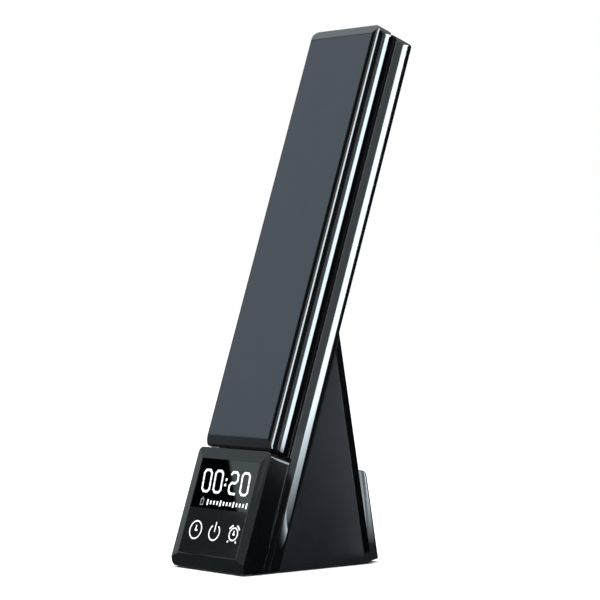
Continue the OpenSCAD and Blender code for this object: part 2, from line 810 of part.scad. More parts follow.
module hinge_bracket() {
  color("slategray") leaned() difference() {
    union() {
      block([-leaf_w / 2, arm_in_v, bracket_s0], [leaf_w / 2, arm_in_v + leaf_t, bracket_s1]);
      for (side = [-1, 1]) {
        block([min(side * ear_x, side * ear_end), neck_v, notch_s + neck_play],
          [max(side * ear_x, side * ear_end), arm_in_v + leaf_t, ear_top]);
        block([min(side * ear_x, side * ear_end), arm_in_v, bracket_s1 - 2 * eps],
          [max(side * ear_x, side * ear_end), arm_in_v + leaf_t, ear_top]);
        bar_x(hinge_v, hinge_s, knuckle_d,
          min(side * ear_x, side * ear_end), max(side * ear_x, side * ear_end));
      }
    }
    bar_x(hinge_v, hinge_s, pin_d + 2 * pin_play, -2 * ear_end, 2 * ear_end);
    for (side = [-1, 1])
      bar_v(side * bracket_screw_x, bracket_screw_s, shell_screw[0] + 2 * screw_play,
        arm_in_v - eps, arm_in_v + leaf_t + eps);
  }
}

module bracket_screws() {
  color("silver") leaned() for (side = [-1, 1])
    screw_v(side * bracket_screw_x, bracket_screw_s, shell_screw, arm_in_v + leaf_t, bracket_screw_len, -1);
}

module hinge_pin() {
  color("lightgray") leaned() {
    bar_x(hinge_v, hinge_s, pin_d, -pin_end + nut_t / 2, pin_end);
    bar_x(hinge_v, hinge_s, nut_d, -pin_end, -pin_end + nut_t);
  }
}

module hinge_washers() {
  color("goldenrod") leaned() difference() {
    for (x0 = [knuckle_w / 2 + side_play, ear_end + side_play]) {
      bar_x(hinge_v, hinge_s, washer_d, x0, x0 + washer_t);
      bar_x(hinge_v, hinge_s, washer_d, -x0 - washer_t, -x0);
    }
    bar_x(hinge_v, hinge_s, pin_d + 2 * pin_play, -2 * ear_end, 2 * ear_end);
  }
}

module hinge_nut() {
  color("silver") leaned() difference() {
    translate([pin_end - nut_t, hinge_v, hinge_s]) rotate([0, 90, 0])
      cylinder(h = nut_t, d = nut_d, $fn = 6);
    bar_x(hinge_v, hinge_s, pin_d + 2 * pin_play, 0, 2 * pin_end);
  }
}

module charging_coil() {
  color("chocolate") leaned() difference() {
    bar_v(0, coil_s, coil_d, arm_in_v, arm_in_v + coil_t);
    bar_v(0, coil_s, coil_hole_d, arm_in_v - eps, arm_in_v + coil_t + eps);
  }
}

module ferrite_plate() {
  color("dimgray") leaned() bar_v(0, coil_s, ferrite_d, arm_in_v + coil_t, arm_in_v + coil_t + ferrite_t);
}

// Repeats its child at the four corners of the charger board
module charger_places() {
  for (side = [-1, 1], s = [charger_s + charger_inset, charger_s + charger_len - charger_inset])
    translate([side * (charger_w / 2 - charger_inset), 0, s]) children();
}

module charger_board() {
  color("darkgreen") leaned() difference() {
    union() {
      block([-charger_w / 2, charger_v, charger_s],
        [charger_w / 2, charger_v + board_t, charger_s + charger_len]);
      for (chip = charger_chips)
        block([chip[0][0], charger_v - chip[2], charger_s + chip[0][1]],
          [chip[1][0], charger_v + eps / 2, charger_s + chip[1][1]]);
    }
    charger_places()
      bar_v(0, 0, small_screw[0] + 2 * screw_play, charger_v - eps, charger_v + board_t + eps);
  }
}

// Outer form of the clock box
module housing_form() {
  shoulder = [box_v1 - shoulder_r, box_h - shoulder_r];
  intersection() {
    along(-tail, box_h) polygon(concat(
      [[-half_w, frame_depth], [-panel_half, 0], [panel_half, 0], [half_w, frame_depth]],
      [for (side = [1, -1], step = [0 : cheek_steps])
        let (turn = 90 * (side > 0 ? step : cheek_steps - step) / cheek_steps)
        [side * (half_w - cheek_r + cheek_r * cos(turn)), box_v1 - cheek_r + cheek_r * sin(turn)]]));
    across(body_w) {
      polygon([[0, chin_s], [0, panel_high], [frame_depth, box_h], [shoulder[0], box_h],
        [shoulder[0], shoulder[1]], [box_v1, shoulder[1]], [box_v1, -tail],
        [chin_v + tail * chin_v / chin_s, -tail], [chin_v, chin_v * tan(lean)]]);
      translate(shoulder) circle(shoulder_r);
    }
    through(0, box_v1) round_ends(half_w, chin_low, box_h, chin_corner_r, box_corner_r);
  }
}

// Boss for a screw that comes up through the base plate, tied to the side wall
module base_boss(side, y) {
  translate([side * base_screw_x, y, base_top + fit])
    cylinder(h = base_boss_h, d = base_screw[0] + 2 * boss_wall);
  x0 = side * base_screw_x;
  x1 = side * (leg_in_half + wall / 2);
  translate([min(x0, x1), y - boss_wall, base_top + fit])
    cube([abs(x1 - x0), 2 * boss_wall, base_boss_h]);
}

module base_boss_hole(side, y) {
  translate([side * base_screw_x, y, 0])
    cylinder(h = base_top + base_boss_h - boss_wall, d = base_screw[0] + screw_play);
}

module display_housing() {
  color("#1d1f22") difference() {
    union() {
      above_table() leaned() {
        difference() {
          housing_form();
          block([-panel_half, -eps, panel_low], [panel_half, panel_t, panel_high]);
          block([-window_half, 0, panel_low + panel_ledge], [window_half, box_v1, panel_high - panel_ledge]);
          across(2 * box_in_half) polygon([[box_in_v, panel_low + panel_ledge], [box_in_v, box_h - wall],
            [box_v1 + eps, box_h - wall], [box_v1 + eps, -tail], [chin_v + wall, -tail],
            [chin_v + wall, panel_low - panel_ledge]]);
        }
        for (side = [-1, 1]) {
          for (s = main_boss_s)
            bar_v(side * main_boss_x, s, small_screw[0] + 2 * boss_wall,
              box_in_v - eps / 2, main_board_v);
          bar_v(side * housing_screw_x, housing_screw_s, shell_screw[0] + 2 * boss_wall,
            housing_boss_v, box_v1);
          rib_x = [side * housing_screw_x, side * (box_in_half + eps / 2)];
          block([min(rib_x), housing_boss_v, housing_screw_s - boss_wall],
            [max(rib_x), box_v1, housing_screw_s + boss_wall]);
        }
      }
      for (side = [-1, 1]) base_boss(side, base_screw_y[0]);
    }
    leaned() for (side = [-1, 1]) {
      for (s = main_boss_s)
        bar_v(side * main_boss_x, s, small_screw[0] + screw_play, box_in_v, main_board_v + eps);
      bar_v(side * housing_screw_x, housing_screw_s, shell_screw[0] + screw_play,
        housing_boss_v - eps, box_v1 + eps);
    }
    for (side = [-1, 1]) base_boss_hole(side, base_screw_y[0]);
    base_pocket();
  }
}

module front_panel() {
  color("#08090a") leaned() through(0, panel_t)
    round_rect(panel_half - fit, panel_low + fit, panel_high - fit, panel_r);
}

module display_module() {
  color("#202020") leaned() {
    block([-module_half, module_face_v, module_low], [module_half, module_back_v, module_high]);
    for (i = [0 : module_pins - 1], s = [module_low + module_pin_inset, module_high - module_pin_inset])
      bar_v((i - (module_pins - 1) / 2) * module_pin_pitch, s, module_pin_d,
        module_back_v - eps / 2, main_board_v);
  }
}

// One digit's lit segments on its own middle, as separate bars
module digit_bars(lit) {
  half_h = digit_h / 2;
  side_x = digit_w / 2 - segment_w / 2;
  bar_w = digit_w - 2 * segment_w - 2 * segment_gap;
  bar_h = half_h - segment_w / 2 - 2 * segment_gap;
  if (lit[0]) translate([-bar_w / 2, half_h - segment_w]) square([bar_w, segment_w]);
  if (lit[3]) translate([-bar_w / 2, -segment_w / 2]) square([bar_w, segment_w]);
  if (lit[6]) translate([-bar_w / 2, -half_h]) square([bar_w, segment_w]);
  for (i = [0, 1]) {
    x0 = (i == 0 ? -side_x : side_x) - segment_w / 2;
    if (lit[1 + i]) translate([x0, segment_gap]) square([segment_w, bar_h]);
    if (lit[4 + i]) translate([x0, -segment_gap - bar_h]) square([segment_w, bar_h]);
  }
}

module display_digits() {
  color("white") leaned() through(panel_t, module_face_v) {
    for (i = [0 : 3]) translate([digit_slots[i] + digit_shift, digit_s]) digit_bars(digits[i]);
    for (side = [-1, 1]) translate([digit_shift, digit_s + side * colon_rise]) circle(d = segment_w);
  }
}

module touch_pads() {
  color("goldenrod") leaned() for (x = key_x) bar_v(x, key_s, key_d, panel_t, panel_t + pad_t);
}

module touch_board() {
  color("darkgreen") leaned() block(
    [-window_half + window_play, panel_t + pad_t, panel_low + panel_ledge + window_play],
    [window_half - window_play, panel_t + pad_t + touch_board_t, module_low - module_gap]);
}

module main_board() {
  color("darkgreen") leaned() difference() {
    block([-main_board_w / 2, main_board_v, main_boss_s[0] - main_board_margin],
      [main_board_w / 2, main_board_back, main_boss_s[1] + main_board_margin]);
    for (side = [-1, 1], s = main_boss_s)
      bar_v(side * main_boss_x, s, small_screw[0] + 2 * screw_play,
        main_board_v - eps, main_board_back + eps);
  }
}

module board_screws() {
  color("silver") {
    leaned() {
      for (side = [-1, 1], s = main_boss_s)
        screw_v(side * main_boss_x, s, small_screw, main_board_back, main_screw_len, -1);
      charger_places() screw_v(0, 0, small_screw, charger_v, charger_screw_len, 1);
    }
    on_leg_back() for (side = [-1, 1])
      screw_v(side * power_screw_x, power_screw_t, small_screw, board_t, power_screw_len, -1);
  }
}

module alarm_buzzer() {
  color("#101010") leaned() difference() {
    bar_v(buzzer_x, buzzer_s, buzzer_d, main_board_back, main_board_back + buzzer_t);
    bar_v(buzzer_x, buzzer_s, buzzer_hole_d, main_board_back + boss_floor,
      main_board_back + buzzer_t + eps);
  }
}

module backup_cell() {
  color("silver") leaned() bar_v(cell_x, cell_s, cell_d, main_board_back, main_board_back + cell_t);
}

module housing_screws() {
  color("silver") leaned() for (side = [-1, 1])
    screw_v(side * housing_screw_x, housing_screw_s, shell_screw, low_in_v, housing_screw_len, -1);
}

// Side outline of the leg between lines set in by an even wall
module leg_outline(inset, z0) {
  f0 = foot_y + leg_front_v / cos(lean) + inset / cos(lean);
  r0 = heel_y - inset / cos(leg_lean);
  apex_z = (r0 - f0) / (tan(lean) + tan(leg_lean));
  polygon([[f0 + z0 * tan(lean), z0], [r0 - z0 * tan(leg_lean), z0], [r0 - apex_z * tan(leg_lean), apex_z]]);
}

module stand_leg() {
  color("#1f2123") difference() {
    union() {
      difference() {
        intersection() {
          across(body_w) leg_outline(0, foot_h);
          on_leg_back() along(-tail, reach) polygon([
            [-half_w, -reach], [half_w, -reach], [half_w, -leg_band], [half_w - leg_draft, -leg_edge],
            [half_w - leg_draft - leg_edge, 0], [-half_w + leg_draft + leg_edge, 0],
            [-half_w + leg_draft, -leg_edge], [-half_w, -leg_band]]);
        }
        across(2 * leg_in_half) leg_outline(wall, 0);
      }
      leaned() for (side = [-1, 1], s = leg_screw_s)
        bar_v(side * leg_screw_x, s, leg_screw[0] + 2 * boss_wall,
          leg_front_v + eps / 2, leg_front_v + wall + leg_boss_len);
      for (side = [-1, 1]) base_boss(side, base_screw_y[1]);
    }
    leaned() {
      for (side = [-1, 1], s = leg_screw_s)
        bar_v(side * leg_screw_x, s, leg_screw[0] + screw_play,
          leg_front_v - eps, leg_front_v + wall + leg_boss_len - boss_floor);
      bar_v(0, lead_s, lead_hole_d, leg_front_v - eps, leg_front_v + wall + eps);
    }
    on_leg_back() {
      for (side = [-1, 1]) {
        bar_v(side * power_screw_x, power_screw_t, small_screw[0] + screw_play, -wall - eps, eps);
        bar_v(side * cover_screw_x, cover_screw_t, shell_screw[0] + 2 * screw_play, -wall - eps, eps);
      }
      bar_v(0, lead_back_t, lead_hole_d, -wall - eps, eps);
    }
    for (side = [-1, 1]) base_boss_hole(side, base_screw_y[1]);
    base_pocket();
  }
}

module leg_screws() {
  color("silver") {
    leaned() for (side = [-1, 1], s = leg_screw_s)
      screw_v(side * leg_screw_x, s, leg_screw, rear_in_v, leg_screw_len, 1);
    on_leg_back() for (side = [-1, 1])
      screw_v(side * cover_screw_x, cover_screw_t, shell_screw, -wall, cover_screw_len, 1);
  }
}

module base_plate() {
  color("#18191b") difference() {
    block([-base_half, base_front, foot_h], [base_half, base_back, base_top]);
    for (side = [-1, 1]) {
      for (y = base_screw_y) {
        translate([side * base_screw_x, y, 0])
          cylinder(h = base_top + eps, d = base_screw[0] + 2 * screw_play);
        translate([side * base_screw_x, y, 0])
          cylinder(h = foot_h + base_screw[2] + fit, d = base_screw[1] + 2 * screw_play);
      }
      for (y = foot_y_places)
        translate([side * foot_x, y, 0]) cylinder(h = foot_h + foot_pocket, d = foot_d + 2 * fit);
    }
  }
}

module base_screws() {
  seat = foot_h + base_screw[2] + fit;
  color("silver") for (side = [-1, 1], y = base_screw_y) translate([side * base_screw_x, y, 0]) {
    translate([0, 0, seat]) cylinder(h = base_screw_len, d = base_screw[0]);
    difference() {
      translate([0, 0, seat - base_screw[2]]) cylinder(h = base_screw[2], d = base_screw[1]);
      translate([0, 0, seat - base_screw[2] - eps])
        cylinder(h = eps + base_screw[2] / 2, d = base_screw[0] * drive_share);
    }
  }
}

module ballast() {
  color("gray") block([-ballast_w / 2, ballast_y0, base_top],
    [ballast_w / 2, ballast_y0 + ballast_len, base_top + ballast_h]);
}

module rubber_feet() {
  color("#0c0c0c") for (side = [-1, 1], y = foot_y_places)
    translate([side * foot_x, y, 0]) cylinder(h = foot_h + foot_pocket, d = foot_d);
}

// Outer form of the cover over the power inlet, in the frame on the leg's rear face
module inlet_form(inset) {
  half = inlet_w / 2 - inset;
  top = inlet_high - inset;
  depth = inlet_depth - inset;
  r = max(inlet_r - inset, inlet_min_r);
  top_r = max(inlet_top_r - inset, inlet_min_r);
  intersection() {
    along(inlet_low + inset, top) {
      translate([-half, -eps]) square([2 * half, depth + eps - r]);
      translate([-half + r, -eps]) square([2 * (half - r), depth + eps]);
      for (side = [-1, 1]) translate([side * (half - r), depth - r]) circle(r);
    }
    across(inlet_w) {
      translate([-eps, inlet_low]) square([depth + eps - top_r, inlet_high - inlet_low - inset]);
      translate([-eps, inlet_low]) square([depth + eps, inlet_high - inlet_low - inset - top_r]);
      translate([depth - top_r, top - top_r]) circle(top_r);
    }
  }
}

// Slot outline of the power socket, carried along d
module socket_slot(grow, d0, d1) {
  translate([0, 0, socket_rise]) through(d0, d1) slot(socket_w + 2 * grow, socket_h + 2 * grow);
}

module rear_port_cover() {
  color("#141517") on_leg_back() difference() {
    union() {
      difference() {
        inlet_form(0);
        inlet_form(inlet_wall);
      }
      intersection() {
        inlet_form(fit);
        for (side = [-1, 1])
          bar_v(side * cover_screw_x, cover_screw_t, shell_screw[0] + 2 * boss_wall, 0, inlet_depth);
      }
    }
    block([-body_w, -reach, -reach], [body_w, 0, reach]);
    for (side = [-1, 1])
      bar_v(side * cover_screw_x, cover_screw_t, shell_screw[0] + screw_play, -eps, cover_boss_d);
    socket_slot(socket_play, 0, inlet_depth + eps);
  }
}

module power_board() {
  color("darkgreen") on_leg_back() difference() {
    block([-power_board_w / 2, 0, power_board_low], [power_board_w / 2, board_t, power_board_high]);
    for (side = [-1, 1])
      bar_v(side * power_screw_x, power_screw_t, small_screw[0] + 2 * screw_play, -eps, board_t + eps);
  }
}

module power_socket() {
  mouth = inlet_depth - socket_recess;
  color("silver") on_leg_back() {
    difference() {
      socket_slot(0, board_t, mouth);
      socket_slot(-socket_wall, board_t + socket_floor, mouth + eps);
    }
    translate([0, 0, socket_rise]) block([-tongue_w / 2, board_t + eps / 2, -tongue_h / 2],
      [tongue_w / 2, mouth - tongue_recess, tongue_h / 2]);
  }
}

// Straight length of lead between two points
module lead(a, b, d) {
  run = b - a;
  turn = [0, acos(run[2] / norm(run)), atan2(run[1], run[0])];
  translate(a) rotate(turn) cylinder(h = norm(run), d = d);
}

// Point of the slab frame, in the lamp's own frame
function slab_point(x, v, s) =
  [x, foot_y + v * cos(lean) + s * sin(lean), s * cos(lean) - v * sin(lean)];

module power_lead() {
  start = slab_point(0, main_board_back, lead_s);
  bend = slab_point(0, lead_turn_v, lead_s);
  back = [0, heel_y - lead_level * tan(leg_lean), lead_level];
  color("#222222") {
    lead(start, bend, lead_d);
    translate(bend) sphere(d = lead_d * bend_swell);
    difference() {
      lead(bend, back + [0, lead_d, 0], lead_d);
      on_leg_back() block([-lead_d, 0, 0], [lead_d, reach, reach]);
    }
  }
}

module lamp_lead() {
  start = slab_point(lamp_lead_x, main_board_back, lamp_lead_s);
  bend = slab_point(lamp_lead_x, lamp_lead_v, lamp_lead_s);
  end = slab_point(lamp_lead_x, lamp_lead_v, bracket_s0 - lead_clear);
  color("#222222") {
    lead(start, bend, lamp_lead_d);
    translate(bend) sphere(d = lamp_lead_d * bend_swell);
    lead(bend, end, lamp_lead_d);
  }
}

head_cover();
head_face_panel();
head_rim();
light_diffuser();
reflector_sheet();
led_board();
led_chips();
head_screws();
head_hinge_leaf();
head_leaf_screws();
arm_front_shell();
arm_rear_shell();
arm_screws();
hinge_bracket();
bracket_screws();
hinge_pin();
hinge_washers();
hinge_nut();
charging_coil();
ferrite_plate();
charger_board();
display_housing();
front_panel();
display_module();
display_digits();
touch_pads();
touch_board();
main_board();
board_screws();
alarm_buzzer();
backup_cell();
housing_screws();
stand_leg();
leg_screws();
base_plate();
base_screws();
ballast();
rubber_feet();
rear_port_cover();
power_board();
power_socket();
power_lead();
lamp_lead();
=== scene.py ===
"""Looks of a folding desk lamp with a clock box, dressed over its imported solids.

The lamp leans back as one slab. Its sizes are given in millimetres in the slab's own frame: x across,
v from the front plane back into the lamp, s up along the slab from the line where it meets the table.
"""

import logging
import math
from dataclasses import dataclass
from enum import Enum
from typing import Dict, List, Sequence, Tuple, Union

import bmesh
import bpy
from mathutils import Matrix, Vector


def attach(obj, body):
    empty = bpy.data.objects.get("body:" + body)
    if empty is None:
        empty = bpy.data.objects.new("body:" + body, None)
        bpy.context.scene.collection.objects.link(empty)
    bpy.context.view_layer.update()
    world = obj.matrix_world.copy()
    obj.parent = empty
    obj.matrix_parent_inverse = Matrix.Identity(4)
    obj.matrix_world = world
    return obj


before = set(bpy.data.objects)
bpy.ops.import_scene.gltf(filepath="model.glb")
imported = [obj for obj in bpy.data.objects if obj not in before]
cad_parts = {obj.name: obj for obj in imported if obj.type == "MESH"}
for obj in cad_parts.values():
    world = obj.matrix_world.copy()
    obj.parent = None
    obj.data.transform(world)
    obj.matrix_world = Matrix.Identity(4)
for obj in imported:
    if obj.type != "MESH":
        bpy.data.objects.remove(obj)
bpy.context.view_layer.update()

MM = 0.001
WELD_M = 0.000002
FLAT_DEG = 0.4
EDGE_STEPS = 3
STRIP_LEVEL = 15.0
log = logging.getLogger("desk_lamp")

Point = Tuple[float, float]
Place = Tuple[float, float, float]
Colour = Tuple[float, float, float]


class Body(Enum):
    """The rigid body that the added films ride on."""

    STAND = "stand"


class Grain(Enum):
    """Surface grain of a moulding: noise scale per metre, bump distance in metres."""

    POLISHED = (900.0, 0.000002)
    FINE = (2600.0, 0.000008)
    SATIN = (5200.0, 0.000012)
    RUBBER = (1800.0, 0.00003)


@dataclass(frozen=True)
class Slab:
    """The leaning frame that the head, the arm and the clock box are drawn in."""

    lean_deg: float = 18.8
    foot_y: float = -64.69476

    def matrix(self) -> Matrix:
        """Returns the transform from slab millimetres to the lamp's frame in metres."""
        turn = Matrix.Rotation(math.radians(-self.lean_deg), 4, "X")
        return Matrix.Scale(MM, 4) @ Matrix.Translation((0.0, self.foot_y, 0.0)) @ turn

    def point(self, x: float, v: float, s: float) -> Vector:
        """Returns a slab point in the lamp's frame, in metres."""
        return self.matrix() @ Vector((x, v, s))

    def up(self) -> Vector:
        """Returns the unit vector up along the slab."""
        return (self.matrix().to_3x3() @ Vector((0.0, 0.0, 1.0))).normalized()


SLAB = Slab()


class NodeMaker:
    """A material under construction, with short calls for its nodes and links."""

    noise_low = 0.3
    noise_high = 0.7
    noise_gain = 0.55

    def __init__(self, name: str) -> None:
        """Starts an empty node tree.

        Args:
            name: The material's name.
        """
        self.material = bpy.data.materials.new(name)
        self.material.use_nodes = True
        self.tree = self.material.node_tree
        self.tree.nodes.clear()
        self.output = self.tree.nodes.new("ShaderNodeOutputMaterial")

    def node(self, kind: str, **settings: object) -> bpy.types.Node:
        """Adds a node and sets its properties and input sockets.

        Args:
            kind: The node's type name.
            **settings: Properties by name, and inputs by name with spaces as underscores.

        Returns:
            The new node.
        """
        made = self.tree.nodes.new(kind)
        for key, value in settings.items():
            label = key.replace("_", " ")
            if label in made.inputs:
                made.inputs[label].default_value = value
            else:
                setattr(made, key, value)
        return made

    def link(self, source: bpy.types.NodeSocket, target: bpy.types.NodeSocket) -> None:
        """Joins an output socket to an input socket."""
        self.tree.links.new(source, target)

    def sum_of(
        self, operation: str, first: bpy.types.NodeSocket, second: Union[float, bpy.types.NodeSocket]
    ) -> bpy.types.NodeSocket:
        """Adds a sum on one or two values.

        Args:
            operation: The kind of sum, as the node names it.
            first: Its first value.
            second: Its second value, fixed or from a socket.

        Returns:
            The result's socket.
        """
        made = self.node("ShaderNodeMath", operation=operation)
        self.link(first, made.inputs[0])
        if isinstance(second, float):
            made.inputs[1].default_value = second
        else:
            self.link(second, made.inputs[1])
        return made.outputs[0]

    def axes(self) -> bpy.types.NodeOutputs:
        """Adds object coordinates and returns a socket for each axis."""
        parts = self.node("ShaderNodeSeparateXYZ")
        self.link(self.node("ShaderNodeTexCoord").outputs["Object"], parts.inputs[0])
        return parts.outputs

    def coordinates(self, stretch: Sequence[float] = (1.0, 1.0, 1.0)) -> bpy.types.NodeSocket:
        """Adds object coordinates.

        Args:
            stretch: Scale of the three axes, for grain that runs one way.

        Returns:
            The vector socket.
        """
        place = self.node("ShaderNodeTexCoord").outputs["Object"]
        mapping = self.node("ShaderNodeMapping", vector_type="POINT")
        mapping.inputs["Scale"].default_value = stretch
        self.link(place, mapping.inputs["Vector"])
        return mapping.outputs["Vector"]

    def noise(self, where: bpy.types.NodeSocket, scale: float, detail: float = 3.0) -> bpy.types.NodeSocket:
        """Adds a noise texture.

        Args:
            where: The coordinates it reads.
            scale: Features per metre.
            detail: Octaves of finer noise.

        Returns:
            The factor socket.
        """
        texture = self.node("ShaderNodeTexNoise", Scale=scale, Detail=detail, Roughness=self.noise_gain)
        self.link(where, texture.inputs["Vector"])
        return texture.outputs["Fac"]

    def between(self, factor: bpy.types.NodeSocket, low: float, high: float) -> bpy.types.NodeSocket:
        """Maps a noise factor to a range.

        Args:
            factor: Socket with values around one half.
            low: Result at the noise's low value.
            high: Result at the noise's high value.

        Returns:
            The mapped socket.
        """
        mapped = self.node("ShaderNodeMapRange", To_Min=low, To_Max=high)
        mapped.inputs["From Min"].default_value = self.noise_low
        mapped.inputs["From Max"].default_value = self.noise_high
        self.link(factor, mapped.inputs["Value"])
        return mapped.outputs["Result"]

    def shades(self, factor: bpy.types.NodeSocket, dark: Colour, light: Colour) -> bpy.types.NodeSocket:
        """Blends two colours by a noise factor.

        Args:
            factor: Socket with values around one half.
            dark: Colour at the noise's low value.
            light: Colour at the noise's high value.

        Returns:
            The colour socket.
        """
        ramp = self.node("ShaderNodeValToRGB")
        ramp.color_ramp.elements[0].position = self.noise_low
        ramp.color_ramp.elements[0].color = (*dark, 1.0)
        ramp.color_ramp.elements[1].position = self.noise_high
        ramp.color_ramp.elements[1].color = (*light, 1.0)
        self.link(factor, ramp.inputs["Fac"])
        return ramp.outputs["Color"]

    def bump(self, height: bpy.types.NodeSocket, distance: float) -> bpy.types.NodeSocket:
        """Adds a bump.

        Args:
            height: The height socket.
            distance: Depth of the relief in metres.

        Returns:
            The normal socket.
        """
        relief = self.node("ShaderNodeBump", Strength=1.0, Distance=distance)
        self.link(height, relief.inputs["Height"])
        return relief.outputs["Normal"]

    def finish(self, shader: bpy.types.Node) -> bpy.types.Material:
        """Wires the shader to the output and returns the material."""
        self.link(shader.outputs[0], self.output.inputs["Surface"])
        return self.material


def scaled(colour: Colour, factor: float) -> Colour:
    """Returns a colour with its three parts multiplied."""
    return (colour[0] * factor, colour[1] * factor, colour[2] * factor)


@dataclass(frozen=True)
class Moulding:
    """A moulded plastic or rubber finish, with grain, cloudy gloss and a slight drift of shade."""

    name: str
    slot: str
    colour: Colour
    roughness: float
    grain: Grain
    specular: float = 0.5
    coat: float = 0.0
    coat_roughness: float = 0.03
    drift: float = 0.12
    cloud_scale: float = 55.0
    gloss_scale: float = 240.0
    gloss_drift: float = 0.05

    def build(self) -> bpy.types.Material:
        """Returns the finish as a material."""
        maker = NodeMaker(self.name)
        where = maker.coordinates()
        scale, depth = self.grain.value
        shader = maker.node("ShaderNodeBsdfPrincipled", IOR=1.5, Specular_IOR_Level=self.specular)
        shader.inputs["Coat Weight"].default_value = self.coat
        shader.inputs["Coat Roughness"].default_value = self.coat_roughness
        cloud = maker.noise(where, self.cloud_scale, 4.0)
        dark, light = [scaled(self.colour, 1.0 + side * self.drift) for side in (-1.0, 1.0)]
        maker.link(maker.shades(cloud, dark, light), shader.inputs["Base Color"])
        low, high = [self.roughness * (1.0 + side * self.gloss_drift) for side in (-1.0, 1.0)]
        gloss = maker.between(maker.noise(where, self.gloss_scale), low, high)
        maker.link(gloss, shader.inputs["Roughness"])
        maker.link(maker.bump(maker.noise(where, scale, 2.0), depth), shader.inputs["Normal"])
        return maker.finish(shader)


@dataclass(frozen=True)
class SatinAndPolish(Moulding):
    """A satin moulding whose bands, turned a little to the back, are polished and darker."""

    band_roughness: float = 0.06
    band_specular: float = 0.5
    band_shade: float = 0.12
    band_turn: Tuple[float, float] = (0.08, 0.16)
    back_turn: Tuple[float, float] = (0.7, 0.5)

    def build(self) -> bpy.types.Material:
        """Returns the finish as a material."""
        material = super().build()
        tree = material.node_tree
        shader = tree.nodes["Principled BSDF"]
        parts = tree.nodes.new("ShaderNodeSeparateXYZ")
        tree.links.new(tree.nodes.new("ShaderNodeTexCoord").outputs["Normal"], parts.inputs[0])
        band = tree.nodes.new("ShaderNodeMath")
        band.operation = "MINIMUM"
        for i, turn in enumerate((self.band_turn, self.back_turn)):
            edge = tree.nodes.new("ShaderNodeMapRange")
            edge.inputs["From Min"].default_value, edge.inputs["From Max"].default_value = turn
            tree.links.new(parts.outputs["Y"], edge.inputs["Value"])
            tree.links.new(edge.outputs["Result"], band.inputs[i])
        for name, kind, last in (
            ("Roughness", "FLOAT", self.band_roughness),
            ("Specular IOR Level", "FLOAT", self.band_specular),
            ("Base Color", "RGBA", (*scaled(self.colour, self.band_shade), 1.0)),
        ):
            blend = tree.nodes.new("ShaderNodeMix")
            blend.data_type = kind
            factor, first, second = [s for s in blend.inputs if s.enabled and not s.is_unavailable]
            tree.links.new(band.outputs[0], factor)
            if shader.inputs[name].is_linked:
                tree.links.new(shader.inputs[name].links[0].from_socket, first)
            else:
                first.default_value = shader.inputs[name].default_value
            second.default_value = last
            tree.links.new(next(s for s in blend.outputs if s.enabled), shader.inputs[name])
        return material


@dataclass(frozen=True)
class Metal:
    """A metal finish with brush marks along one axis."""

    name: str
    slot: str
    colour: Colour
    roughness: float
    brush: Tuple[float, float, float] = (1.0, 1.0, 14.0)
    mark_scale: float = 900.0
    mark_shade: float = 0.85
    mark_gloss: float = 0.2
    relief_m: float = 0.000004

    def build(self) -> bpy.types.Material:
        """Returns the finish as a material."""
        maker = NodeMaker(self.name)
        where = maker.coordinates(self.brush)
        marks = maker.noise(where, self.mark_scale, 5.0)
        shader = maker.node("ShaderNodeBsdfPrincipled", Metallic=1.0)
        dark = scaled(self.colour, self.mark_shade)
        maker.link(maker.shades(marks, dark, self.colour), shader.inputs["Base Color"])
        low, high = [self.roughness * (1.0 + side * self.mark_gloss) for side in (-1.0, 1.0)]
        maker.link(maker.between(marks, low, high), shader.inputs["Roughness"])
        maker.link(maker.bump(marks, self.relief_m), shader.inputs["Normal"])
        return maker.finish(shader)


@dataclass(frozen=True)
class Winding:
    """Enamelled wire, with a fine grain of strands."""

    name: str
    slot: str
    colour: Colour
    strand_scale: float = 3000.0
    strand_shade: float = 0.7
    roughness: Tuple[float, float] = (0.28, 0.42)
    relief_m: float = 0.00002

    def build(self) -> bpy.types.Material:
        """Returns the finish as a material."""
        maker = NodeMaker(self.name)
        where = maker.coordinates()
        shader = maker.node("ShaderNodeBsdfPrincipled", Metallic=0.85)
        strands = maker.noise(where, self.strand_scale, 2.0)
        dark = scaled(self.colour, self.strand_shade)
        maker.link(maker.shades(strands, dark, self.colour), shader.inputs["Base Color"])
        maker.link(maker.between(strands, *self.roughness), shader.inputs["Roughness"])
        maker.link(maker.bump(strands, self.relief_m), shader.inputs["Normal"])
        return maker.finish(shader)


@dataclass(frozen=True)
class Board:
    """A circuit board: solder mask with paler copper tracks under it."""

    name: str
    slot: str
    mask: Colour
    track: Colour
    track_scale: float = 260.0
    mask_shade: float = 0.8
    roughness: float = 0.35
    relief_m: float = 0.00003

    def build(self) -> bpy.types.Material:
        """Returns the finish as a material."""
        maker = NodeMaker(self.name)
        where = maker.coordinates()
        bricks = maker.node("ShaderNodeTexBrick", Scale=self.track_scale, Mortar_Size=0.06)
        bricks.inputs["Mortar Smooth"].default_value = 0.2
        bricks.inputs["Color1"].default_value = (*self.mask, 1.0)
        bricks.inputs["Color2"].default_value = (*scaled(self.mask, self.mask_shade), 1.0)
        bricks.inputs["Mortar"].default_value = (*self.track, 1.0)
        maker.link(where, bricks.inputs["Vector"])
        shader = maker.node("ShaderNodeBsdfPrincipled", Roughness=self.roughness)
        maker.link(bricks.outputs["Color"], shader.inputs["Base Color"])
        maker.link(maker.bump(bricks.outputs["Fac"], self.relief_m), shader.inputs["Normal"])
        return maker.finish(shader)


